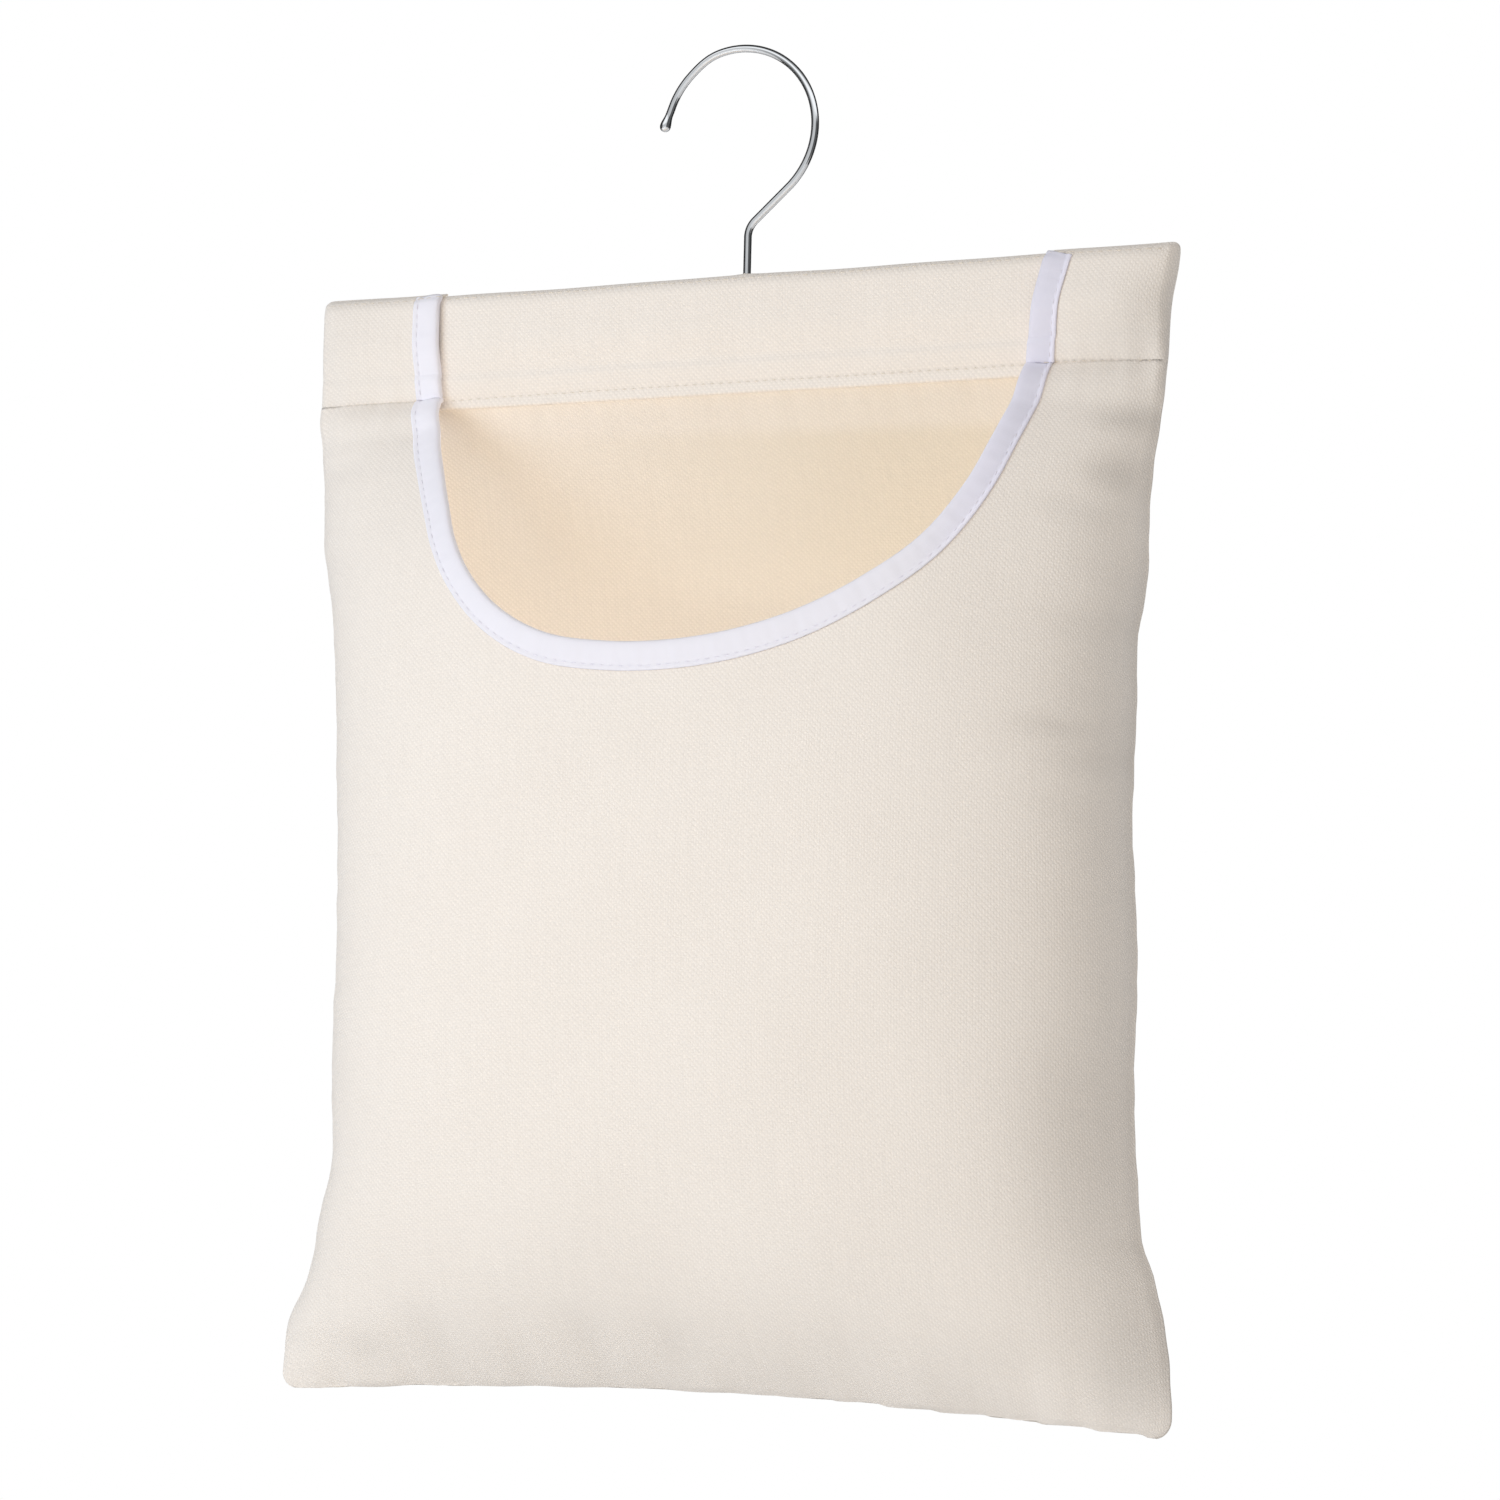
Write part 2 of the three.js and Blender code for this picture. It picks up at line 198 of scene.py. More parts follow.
# Hook
WIRE_RADIUS = 0.0014
CROWN_RADIUS = 0.0302
STEM_X = 0.0048
STEM_OPENING = 0.0021
STEM_OPENING_REACH = 0.0030
NECK_RADIUS = 0.008
NECK_ANGLE = math.radians(48)
TIP_ANGLE = math.radians(173.4)
TIP_RADIUS = 0.0020
OPEN_DRAW = 0.00165
HEAD_RADIUS = 0.0026
HEAD_HEIGHT = 0.0018


# Shapes of the bag

def quarter_round(distance, radius):
    """0 at the edge to 1 at the radius: the square root of 1 less (1 - distance / radius) squared."""
    left = 1 - np.clip(distance / radius, 0, 1)
    return np.sqrt(np.clip(1 - left**2, 0, 1))


def smooth_step(value, low, high):
    """0 at low to 1 at high, as 3 t squared less 2 t cubed."""
    share = np.clip((value - low) / (high - low), 0, 1)
    return share * share * (3 - 2 * share)


def bell(value, middle, reach):
    """1 in the middle, falling as e to the minus square of the distance in reaches."""
    return np.exp(-(((value - middle) / reach) ** 2))


def waves(along, lengths, seed):
    """Sum of one sine for each length, with its own phase and weight, about 1 at its highest."""
    chance = np.random.default_rng(seed)
    total = np.zeros_like(along)
    for length in lengths:
        weight = chance.uniform(0.6, 1)
        phase = chance.uniform(0, 2 * np.pi)
        total += weight * np.sin(2 * np.pi * along / length + phase)
    return total / math.sqrt(len(lengths))


def smooth_line(at, points):
    """A smooth line through points: a cubic between each two, whose slope at a point is the
    slope between its neighbours."""
    places, values = np.array(points).T
    slopes = np.gradient(values, places)
    left = np.clip(np.searchsorted(places, at) - 1, 0, len(places) - 2)
    length = places[left + 1] - places[left]
    t = np.clip((at - places[left]) / length, 0, 1)
    start, end = values[left], values[left + 1]
    ease = t * t * (3 - 2 * t)
    bend = slopes[left] * length * t * (1 - t) ** 2 - slopes[left + 1] * length * t * t * (1 - t)
    return start + (end - start) * ease + bend


def half_width(drop, rise=0):
    """Half of the width: straight down the sleeve, drawn in at the waist, flared to the bottom
    corners, less the rounding of the corners and half of the cloth."""
    below = drop - SLEEVE_HEIGHT
    above = POCKET_HEIGHT - below
    drawn = (1 - np.clip(below / SHOULDER_DRAW, 0, 1)) ** DRAW_POWER
    flared = np.cos(np.clip(above / BOTTOM_FLARE, 0, 1) * np.pi / 2) ** 2
    pocket = WAIST_WIDTH + (STITCH_WIDTH - WAIST_WIDTH) * drawn + (BOTTOM_WIDTH - WAIST_WIDTH) * flared
    sleeve = TOP_WIDTH + (STITCH_WIDTH - TOP_WIDTH) * drop / SLEEVE_HEIGHT
    width = np.where(drop <= SLEEVE_HEIGHT, sleeve, pocket) / 2
    top_corner = TOP_CORNER * (1 - quarter_round(drop + rise, TOP_CORNER))
    bottom_corner = BOTTOM_CORNER * (1 - quarter_round(above, BOTTOM_CORNER))
    return width - top_corner - bottom_corner - CANVAS_THICK / 2


def swell_at(across, drop, side):
    """Swell times a crown across, times a rise from the stitches and a fall to the bottom seam,
    both 1 less e to the minus distance. The crown is a wide dome and a tight edge, each 1 less
    a power of the place."""
    below = np.clip(drop - SLEEVE_HEIGHT, 0, None)
    above = np.clip(POCKET_HEIGHT - below, 0, None)
    place = np.clip(np.abs(across), 0, 1)
    crown = DOME_SHARE * (1 - place**DOME_POWER) + (1 - DOME_SHARE) * (1 - place**EDGE_POWER)
    return SWELL[side] * crown * (1 - np.exp(-below / BUILD[side])) * (1 - np.exp(-above / BOTTOM_BUILD))


def lean_at(across, drop, side):
    """How much longer a step square to the cloth is along Y: the length of (1, slope, slope)."""
    step = 0.0003
    share = step / half_width(drop)
    inner = np.abs(across) - share
    slope_across = (swell_at(inner, drop, side) - swell_at(inner + share, drop, side)) / step
    middle = np.clip(drop, SLEEVE_HEIGHT + step, BAG_HEIGHT - step)
    slope_down = (swell_at(across, middle + step, side) - swell_at(across, middle - step, side)) / (2 * step)
    lean = np.minimum(np.sqrt(1 + slope_across**2 + slope_down**2), STEEPEST)
    return np.where(drop < SLEEVE_HEIGHT, 1, lean)


def sleeve_room(from_side, drop):
    """Half of the room in the sleeve: round over the bar, and a straight taper to the stitches."""
    over_bar = quarter_round(drop, SLEEVE_TOP_ROUND) * quarter_round(from_side, SLEEVE_END_ROUND)
    taper = (SLEEVE_HEIGHT - drop) / (SLEEVE_HEIGHT - BAR_BOTTOM_DROP + BAR_TOP_DROP)
    softness = 0.12
    closing = (taper + 1 - np.sqrt((taper - 1) ** 2 + softness**2)) / 2
    return SEAM_GAP + (BAR_ROOM - SEAM_GAP) * over_bar * np.clip(closing, 0, 1)


def side_puckers(x, drop, from_side, side):
    """Short gathers that run in from the side seams, the bottom seam and the stitches, and the
    long soft waves of a filled bag. Each fades with its distance from the seam."""
    seed = {"front": 10, "back": 40}[side]
    below = drop - SLEEVE_HEIGHT
    above = POCKET_HEIGHT - below
    in_pocket = smooth_step(below, 0, 0.012)
    left = waves(drop, (0.012, 0.019, 0.031, 0.052), seed)
    right = waves(drop, (0.011, 0.018, 0.029, 0.047), seed + 1)
    sides = SIDE_PUCKER * np.where(x < 0, left, right) * np.exp(-from_side / SIDE_PUCKER_REACH) * in_pocket
    bottom = BOTTOM_PUCKER * waves(x, (0.016, 0.027, 0.043, 0.071), seed + 2)
    bottom = bottom * np.exp(-above / BOTTOM_PUCKER_REACH)
    under = STITCH_PUCKER * waves(x, (0.010, 0.017, 0.033), seed + 3)
    under = under * np.exp(-np.abs(below) / STITCH_PUCKER_REACH)
    seam_fade = 1 - np.exp(-from_side / 0.004)
    slow_across = waves(x + 0.3 * drop, (0.083, 0.131), seed + 4)
    slow_down = waves(drop - 0.2 * x, (0.097, 0.163), seed + 5)
    slow = POCKET_WAVE * slow_across * slow_down * smooth_step(below, 0, 0.05)
    sleeve = SLEEVE_WAVE * waves(x, (0.041, 0.068, 0.113), seed + 6) * (1 - smooth_step(below, -0.012, 0))
    return (sides + bottom + under + slow + sleeve) * seam_fade


# Across, drop, reach across, reach down, and how deep
FRONT_DENTS = millimetres(
    (160, 60, 12, 4.2, 3.6), (161, 80, 12, 5.5, 3.6), (143, 90, 12, 5.5, 1.3),
    (154, 110, 11, 5.5, 1.5), (145, 130, 13, 5.5, 1.3), (152, 155, 12, 5.0, 1.5),
    (139, 168.5, 12, 3.8, 1.3), (150, 178, 12, 5.5, 1.5), (148, 196, 12, 5.5, 1.3),
    (150, 240, 10, 12, 0.9), (148, 290, 11, 16, 1.0), (152, 330, 11, 12, 1.2),
    (164, 78, 20, 16, 1.0), (164, 295, 26, 40, 4.5), (174, 345, 30, 38, 12),
    (178, 382, 28, 24, 16), (-150, 64, 11, 6, 1.0), (-148, 100, 12, 8, 1.0),
    (-130, 396, 12, 7, 2.2), (-102, 390, 11, 11, 2.1), (-37, 390, 11, 12, 2.0),
    (-4, 390, 10, 11, 1.9), (60, 392, 13, 11, 1.7), (125, 388, 16, 9, 1.8),
    (152, 394, 11, 8, 1.8),
)

# Painted shade in the folds: the same four in millimetres, and how dark, where below 0 is painted light
FOLD_SHADES = np.array((
    (159, 60.2, 13, 5.4, 0.60), (154, 80, 9, 6.2, 0.40), (162, 100, 8, 10, -0.25),
    (146, 97, 12, 5, 0.14), (150, 131, 12, 6, 0.14), (138, 168.5, 12, 4.5, 0.24),
    (152, 178, 10, 6, 0.16), (142, 315, 18, 38, 0.20), (161, 383, 16, 30, 0.60),
    (-130, 396, 8, 10, 0.12), (-102, 390, 8, 12, 0.12), (-37, 390, 8, 12, 0.12),
    (-4, 390, 8, 12, 0.12),
)) * (0.001, 0.001, 0.001, 0.001, 1)


def spots(x, drop, rows):
    """The sum of each row's strength times a bell across and a bell down round its place."""
    return sum(strength * bell(x, across, reach_across) * bell(drop, down, reach_down)
               for across, down, reach_across, reach_down, strength in rows)


def sleeve_stitch(x):
    """The drop of the sleeve's line of stitches, which isn't quite straight."""
    return smooth_line(x, SLEEVE_STITCH)


def painted_shade_at(x, drop):
    """How much painted shade darkens the cloth: in the groove of the sleeve's stitches, deepest at
    each hole, at the sleeve's ends, along the right seam and in the folds, one of which is painted lighter."""
    # Painted shade in the groove of the sleeve's stitches, deepest at each hole
    holes = 0.55 + 0.45 * np.cos(2 * np.pi * x / STITCH_PITCH) ** 3
    stitch_groove_shade = bell(drop, sleeve_stitch(x), 0.00055) * holes * (0.45 + 0.55 * smooth_step(x, -0.11, 0.10))
    # Painted shade at the sleeve's ends, strongest at the right end, less at the left
    painted_end_shade = 0.32 * smooth_step(x, 0.110, 0.162) * smooth_step(drop, 0.004, 0.032)
    painted_end_shade = (painted_end_shade + 0.13 * (1 - smooth_step(x, -0.165, -0.115))) * (1 - smooth_step(drop, 0.040, 0.062))
    # Painted shade along the right side seam
    seam = 0.30 * bell(half_width(drop) - x, 0, 0.0016) * smooth_step(drop, 0.040, 0.070)
    return stitch_groove_shade + painted_end_shade + seam + spots(x, drop, FOLD_SHADES)


def stitch_press(x, drop, level, depth):
    """A groove along a line of stitches: a bell across it, times a cosine with one wave a stitch."""
    scallop = 0.7 + 0.3 * np.cos(2 * np.pi * x / STITCH_PITCH)
    return depth * bell(drop, level, GROOVE_REACH) * scallop


def stitch_grooves(x, drop, depth):
    """The groove of the sleeve's stitches, as deep as given, and that of the top edge's."""
    top = stitch_press(x, drop, TOP_STITCH_DROP, SHALLOW_GROOVE)
    return stitch_press(x, drop, sleeve_stitch(x), depth) + top


def seam_line(x, drop):
    """Distance from the middle plane at which a layer ends in the seam: the seam's gap and a bell
    round the hook's stem, which fades 6 mm down."""
    opening = STEM_OPENING * bell(x, STEM_X, STEM_OPENING_REACH)
    return SEAM_GAP + opening * (1 - smooth_step(drop, 0.002, 0.006))


def across_bag(x, width):
    """The place across, -1 to 1, and the distance from the nearer side."""
    across = np.clip(x / width, -1, 1)
    return across, width * (1 - np.abs(across))


def over_hem(drop):
    """0 above the band's hem to 1 over it."""
    hem_top = SLEEVE_HEIGHT - HEM_HEIGHT
    return smooth_step(drop, hem_top, hem_top + HEM_DROP)


def seam_roll(from_side, from_top, from_bottom):
    """0 at the seams to 1 clear of them: a quarter round at the sides, the top and the bottom."""
    rolled = quarter_round(from_side, SIDE_ROLL) * quarter_round(from_top, TOP_ROLL)
    return rolled * quarter_round(from_bottom, BOTTOM_ROLL)


def front_depth(x, drop):
    """Distance of the middle of the front cloth from the middle plane of the bag: the sleeve's
    room, the layers behind it, the swell, the puckers and the puffed sleeve ends, less grooves
    and dents, all rolled down to the seams. A dent takes a share of the depth, so that it can't
    go through."""
    across, from_side = across_bag(x, half_width(drop, SHOULDER_RISE))
    lean = lean_at(across, drop, "front")
    sunk = 0.25 + 0.75 * smooth_step(from_side, 0.003, SLEEVE_SINK)
    behind = CANVAS_ROOM * (1 + over_hem(drop)) + (2 * FIT_GAP + TAPE_ROOM) * lean * sunk
    stacked = 1 - smooth_step(drop, HEM_LOW + CANVAS_ROOM, HEM_LOW + HEM_EASE)
    depth = sleeve_room(from_side, np.clip(drop, 0, None)) + behind * stacked
    depth = depth + swell_at(across, drop, "front") + CANVAS_ROOM / 2 * lean
    depth = depth + side_puckers(x, drop, from_side, "front") - stitch_grooves(x, drop, DEEP_GROOVE)
    puffed = smooth_step(from_side, -0.004, 0.020) * (1 - smooth_step(from_side, 0.020, 0.080))
    depth = depth + SLEEVE_PUFF * puffed * bell(drop, 0.020, 0.014) * (0.25 + 0.75 * (x > 0))
    dents = spots(x, drop, FRONT_DENTS)
    depth = depth - dents * depth / (depth + 2 * dents)
    return SEAM_GAP + (depth - SEAM_GAP) * seam_roll(from_side, drop + SHOULDER_RISE, BAG_HEIGHT - drop)


def back_depth(x, drop):
    """Distance of the middle of the back cloth from the middle plane of the bag: the sleeve's
    room, the swell and the puckers, less grooves, rolled down to the seams."""
    across, from_side = across_bag(x, half_width(drop))
    lean = lean_at(across, drop, "back")
    depth = sleeve_room(from_side, drop) + swell_at(across, drop, "back") + CANVAS_ROOM / 2 * lean
    depth = depth + side_puckers(x, drop, from_side, "back") - stitch_grooves(x, drop, DEEP_GROOVE)
    middle = seam_line(x, drop)
    return middle + (depth - middle) * seam_roll(from_side, drop, BAG_HEIGHT - drop)


def band_depth(x, drop):
    """Distance of the middle of the band's outer leaf from the middle plane of the bag: the
    sleeve's room and a layer more over the hem, less grooves, with low waves, rolled down to
    the top seam."""
    from_side = half_width(drop) - np.abs(x)
    depth = sleeve_room(from_side, drop) + CANVAS_ROOM * (1 / 2 + over_hem(drop))
    depth = depth - stitch_grooves(x, drop, SHALLOW_GROOVE)
    depth = depth + BAND_WAVE * waves(x, (0.023, 0.041, 0.077), 71) * smooth_step(drop, 0.002, 0.010)
    middle = seam_line(x, drop)
    return middle + (depth - middle) * quarter_round(drop, TOP_ROLL)


def on_cloth(x, drop, depth, facing):
    """Points at a place on the bag. They are raised by a bow that grows as the cube of the share
    down and falls as a parabola across."""
    across = np.clip(x / half_width(drop), -1, 1)
    share_down = np.clip(drop - SLEEVE_HEIGHT, 0, None) / POCKET_HEIGHT
    bow = BOTTOM_BOW * share_down**BOW_POWER * (1 - across**2)
    return np.stack([x, facing * depth, BAG_TOP - drop + bow], axis=-1)


def settle(points):
    """Moves cloth as it hangs: its sides follow the measured edges of the bag, its top and its
    bottom tilt a little, and its edges wander."""
    x, y, z = points[..., 0], points[..., 1], points[..., 2]
    drop = BAG_TOP - z
    held = np.clip(drop, 0, BAG_HEIGHT)
    even = half_width(np.clip(held, TOP_CORNER, BAG_HEIGHT - BOTTOM_CORNER)) + CANVAS_THICK / 2
    side_share = np.clip(np.abs(x) / half_width(held), 0, 1) ** 5
    edge = np.where(x < 0, even - smooth_line(held, LEFT_EDGE), smooth_line(held, RIGHT_EDGE) - even)
    fine = np.where(x < 0, waves(drop, (0.017, 0.029, 0.043), 81), waves(drop, (0.015, 0.026, 0.041), 82))
    fine = EDGE_WANDER * fine * smooth_step(drop, 0.030, 0.060)
    top = EDGE_WANDER * waves(x, (0.057, 0.101, 0.173), 83) * np.exp(-np.clip(drop, 0, None) / 0.020)
    hem = HEM_WANDER * waves(x, (0.025, 0.043, 0.079), 84)
    share = (x / SAW_PITCH + 0.35) % 1
    saw = share - smooth_step(share, 0.82, 1)
    hem = (hem + SAW_STEP * saw * smooth_step(x, 0.0, 0.05)) * np.exp(-np.abs(BAG_HEIGHT - drop) / 0.012)
    tilt = TOP_TILT * np.clip(x / 0.165, -0.8, 1) * (1 - smooth_step(drop, 0, 0.12))
    tilt = tilt - BOTTOM_TILT * smooth_step(x, -0.02, 0.17) * smooth_step(drop, 0.20, BAG_HEIGHT)
    return np.stack([x + (edge + fine) * side_share, y, z + top + hem + tilt], axis=-1)


def front_point(x, drop):
    """A place on the middle of the front cloth."""
    return on_cloth(x, drop, front_depth(x, drop), -1)


def back_point(x, drop):
    """A place on the middle of the back cloth."""
    return on_cloth(x, drop, back_depth(x, drop), 1)


def band_point(x, drop):
    """A place on the middle of the band's outer leaf."""
    return on_cloth(x, drop, band_depth(x, drop), -1)


def unit(vectors):
    """Vectors made one long."""
    return vectors / np.maximum(np.linalg.norm(vectors, axis=-1, keepdims=True), 1e-12)


def surface_normal(point_at, x, drop, facing):
    """Unit normal of a surface, from the points a small step across and down from each place."""
    step = 0.0004
    along_x = point_at(x + step, drop) - point_at(x - step, drop)
    along_drop = point_at(x, drop + step) - point_at(x, drop - step)
    normal = np.cross(along_drop, along_x)
    return unit(normal * np.sign(normal[..., 1:2] * facing + 1e-12))


# Meshes from grids of points

def add_piece(name, points, faces, cloth_uv=None, inner_painted_light=None, painted_shade=None):
    """A mesh object from an array of points and a list of face arrays, one row a face."""
    mesh = bpy.data.meshes.new(name)
    points = np.asarray(points, np.float32).reshape(-1, 3)
    corners = np.concatenate([face.ravel() for face in faces]).astype(np.int32)
    counts = np.concatenate([np.full(len(face), face.shape[1]) for face in faces])
    mesh.vertices.add(len(points))
    mesh.vertices.foreach_set("co", points.ravel())
    mesh.loops.add(len(corners))
    mesh.loops.foreach_set("vertex_index", corners)
    mesh.polygons.add(len(counts))
    starts = np.cumsum(counts) - counts
    mesh.polygons.foreach_set("loop_start", starts.astype(np.int32))
    mesh.polygons.foreach_set("use_smooth", np.ones(len(counts), bool))
    if cloth_uv is not None:
        layer = mesh.uv_layers.new(name="cloth")
        layer.data.foreach_set("uv", np.asarray(cloth_uv, np.float32).reshape(-1, 2)[corners].ravel())
    # The points carry painted bounce light and painted shade for the canvas's colour
    for label, values in (("inner_painted_light", inner_painted_light), ("painted_shade", painted_shade)):
        if values is not None:
            attribute = mesh.attributes.new(label, "FLOAT", "POINT")
            attribute.data.foreach_set("value", np.asarray(values, np.float32).ravel())
    mesh.update(calc_edges=True)
    mesh.validate()
    piece = bpy.data.objects.new(name, mesh)
    bpy.context.scene.collection.objects.link(piece)
    return piece


def grid_quads(index, flip=False):
    """Quads of a grid of point numbers."""
    quads = np.stack([index[:-1, :-1], index[:-1, 1:], index[1:, 1:], index[1:, :-1]], axis=-1)
    quads = quads.reshape(-1, 4)
    return quads[:, ::-1] if flip else quads


def tube_faces(rows, columns):
    """Faces of a tube made of rings of points: its quads, and at each end a fan to a point. The
    two end points come after the rings."""
    count = rows * columns
    index = np.arange(count).reshape(rows, columns)
    ring = np.concatenate([index, index[:, :1]], axis=1)
    first = np.stack([ring[0, :-1], ring[0, 1:], np.full(columns, count)], axis=-1)
    last = np.stack([ring[-1, 1:], ring[-1, :-1], np.full(columns, count + 1)], axis=-1)
    return [grid_quads(ring, True), np.concatenate([first, last])]


def border(grid):
    """The points round the edge of a grid, in order, as one closed loop."""
    return np.concatenate([grid[0, :-1], grid[:-1, -1], grid[-1, :0:-1], grid[:0:-1, 0]])


def grid_normals(grid):
    """Unit normals of a grid of points: the cross product of its two directions."""
    return unit(np.cross(np.gradient(grid, axis=0), np.gradient(grid, axis=1)))


def cloth_piece(name, grid, cloth_uv, painted_shade, flip, inner_face_light=1.0):
    """A sheet of cloth: the grid moved out and in by half of its thickness along its normals,
    and joined round the edge over a rounded rim. The outer face points away from the bag."""
    rows, columns = grid.shape[:2]
    offset = grid_normals(grid) * (-1 if flip else 1) * CANVAS_THICK / 2
    outer = grid + offset
    inner = grid - offset
    next_in = np.ix_(np.clip(np.arange(rows), 1, rows - 2), np.clip(np.arange(columns), 1, columns - 2))
    rim = border(grid) + unit(border(grid) - border(grid[next_in])) * RIM_REACH
    count = rows * columns
    index = np.arange(count).reshape(rows, columns)
    outer_loop = border(index[..., None])[:, 0]
    rim_loop = np.arange(2 * count, 2 * count + len(rim))
    inner_loop = outer_loop + count
    faces = [grid_quads(index, flip), grid_quads(index + count, not flip)]
    for one, other in ((outer_loop, rim_loop), (rim_loop, inner_loop)):
        strip = np.stack([one, other, np.roll(other, -1), np.roll(one, -1)], axis=-1)
        faces.append(strip[:, ::-1] if flip else strip)
    points = np.concatenate([outer.reshape(-1, 3), inner.reshape(-1, 3), rim])
    uv = np.concatenate([cloth_uv.reshape(-1, 2), cloth_uv.reshape(-1, 2), border(cloth_uv)])
    # Painted bounce light and shade on the inner face, half of it on the rim
    inner_face_lights = np.zeros(count) + np.ravel(inner_face_light)
    inner_painted_light = np.concatenate([np.zeros(count), inner_face_lights, np.full(len(rim), 0.5)])
    # Painted shade on every point of the sheet
    painted_shades = np.concatenate([painted_shade.ravel(), painted_shade.ravel(), border(painted_shade[..., None])[:, 0]])
    return add_piece(name, points, faces, uv, inner_painted_light, painted_shades)


class PatternMap:
    """Where each place on the bag was on the flat cloth: lengths along the surface, added up
    from the middle outwards and from the top edge down on a coarse grid, and read between."""

    def __init__(self, point_at, count=241):
        self.count = count
        self.across, self.drop = np.meshgrid(np.linspace(-1, 1, count), np.linspace(0, BAG_HEIGHT, count))
        points = point_at(self.across * half_width(self.drop), self.drop)
        step_across = np.linalg.norm(np.diff(points, axis=1), axis=-1)
        step_down = np.linalg.norm(np.diff(points, axis=0), axis=-1)
        self.u = np.concatenate([np.zeros((count, 1)), np.cumsum(step_across, axis=1)], axis=1)
        self.u -= self.u[:, count // 2:count // 2 + 1]
        self.v = np.concatenate([np.zeros((1, count)), np.cumsum(step_down, axis=0)], axis=0)

    def at(self, x, drop):
        column = np.clip((x / half_width(drop) + 1) / 2, 0, 1) * (self.count - 1)
        row = np.clip(drop / BAG_HEIGHT, 0, 1) * (self.count - 1)
        left = np.clip(column.astype(int), 0, self.count - 2)
        top = np.clip(row.astype(int), 0, self.count - 2)
        part_across, part_down = column - left, row - top
        found = []
        for field in (self.u, self.v):
            upper = field[top, left] * (1 - part_across) + field[top, left + 1] * part_across
            lower = field[top + 1, left] * (1 - part_across) + field[top + 1, left + 1] * part_across
            found.append(upper * (1 - part_down) + lower * part_down)
        return np.stack(found, axis=-1)


def eased(count, ease):
    """Shares from 0 to 1, closer together at both ends by a share of a cosine."""
    even = np.linspace(0, 1, count + 1)
    return (1 - ease) * even + ease * (1 - np.cos(np.pi * even)) / 2


# Pieces of cloth

def back_cloth():
    """The back: a grid of places across and down, closer together at its edges."""
    columns, sleeve_rows, pocket_rows = 281, 44, 112
    across = np.sin(np.pi * np.linspace(-0.5, 0.5, columns))
    sleeve = SLEEVE_HEIGHT * eased(sleeve_rows, 1)
    pocket = SLEEVE_HEIGHT + POCKET_HEIGHT * eased(pocket_rows, 1)
    drop = np.concatenate([sleeve[:-1], pocket])
    across, drop = np.meshgrid(across, drop)
    x = across * half_width(drop)
    grid = back_point(x, drop)
    # Painted warm bounce light and shade on the inner face: more to the right and by the left seam, less low
    # down, and half as much in a strip under the band, which is painted lighter
    tint = 0.30 + 0.70 * smooth_step(x, -0.11, 0.09) + 0.70 * (1 - smooth_step(x, -0.150, -0.122))
    tint = tint * (1 - 0.55 * smooth_step(drop, 0.09, 0.15))
    tint = tint * (0.5 + 0.5 * smooth_step(drop - 0.02 * x, 0.052, 0.058))
    cloth_uv = PatternMap(back_point).at(x, drop)
    return cloth_piece("back_cloth", settle(grid), cloth_uv, painted_shade_at(x, drop), True, tint)


def mouth_line(turn_share):
    """The edge of the mouth for shares of a turn: left side of the sleeve below 0, a half
    ellipse times its shape from 0 to 1, and the right side of the sleeve above 1."""
    share = np.clip(turn_share, 0, 1)
    up_left = np.clip(-turn_share, 0, None)
    up_right = np.clip(turn_share - 1, 0, None)
    out = smooth_line(share, MOUTH_SHAPE)
    x = -MOUTH_HALF * out * np.cos(np.pi * share) - MOUTH_LEAN_LEFT * up_left + MOUTH_LEAN_RIGHT * up_right
    drop = SLEEVE_HEIGHT + MOUTH_DEPTH * out * np.sin(np.pi * share) - SLEEVE_HEIGHT * (up_left + up_right)
    return x, drop


def front_cloth():
    """The front: lines from the mouth's cut edge out to the outline, down the left shoulder and
    side, along the bottom seam and up again."""
    shoulder_rows, side_rows, bottom_rows, rows_outward = 46, 150, 96, 98
    cut_in = TAPE_ROOM + FIT_GAP
    shoulder = (1 - eased(shoulder_rows, 1)[:-1]) * (1 + SHOULDER_RISE / SLEEVE_HEIGHT)
    side_drop = SLEEVE_HEIGHT + POCKET_HEIGHT * eased(side_rows, 0.6)[:-1]
    bottom = 2 * eased(bottom_rows, 0.5) - 1
    pocket_turn = np.linspace(0, 1, 2 * side_rows + bottom_rows + 1)
    turn = np.concatenate([-shoulder, pocket_turn, 1 + shoulder[::-1]])
    one_side = np.concatenate([SLEEVE_HEIGHT * (1 - shoulder), side_drop])
    outer_drop = np.concatenate([one_side, np.full(bottom_rows + 1, BAG_HEIGHT), one_side[::-1]])
    outer_hand = np.concatenate([-np.ones(len(one_side)), bottom, np.ones(len(one_side))])
    outer_x = outer_hand * half_width(outer_drop, SHOULDER_RISE)
    inner_x, inner_drop = mouth_line(turn)
    ahead_x, ahead_drop = np.gradient(inner_x), np.gradient(inner_drop)
    ahead = np.hypot(ahead_x, ahead_drop)
    inner_x = inner_x - ahead_drop / ahead * cut_in
    inner_drop = inner_drop + ahead_x / ahead * cut_in * (turn > 0) * (turn < 1)
    outward = np.sin(np.pi / 2 * np.linspace(0, 1, rows_outward))
    x = inner_x[:, None] + (outer_x - inner_x)[:, None] * outward
    drop = inner_drop[:, None] + (outer_drop - inner_drop)[:, None] * outward
    grid = front_point(x, drop)
    cloth_uv = PatternMap(front_point).at(x, drop)
    # The front's inner face takes 0.6 of the painted bounce light and shade
    return cloth_piece("front_cloth", settle(grid), cloth_uv, painted_shade_at(x, drop), True, 0.6)


def run_length(one, other):
    """Distance along a line through places, from its start."""
    return np.concatenate([[0], np.cumsum(np.hypot(np.diff(one), np.diff(other)))])


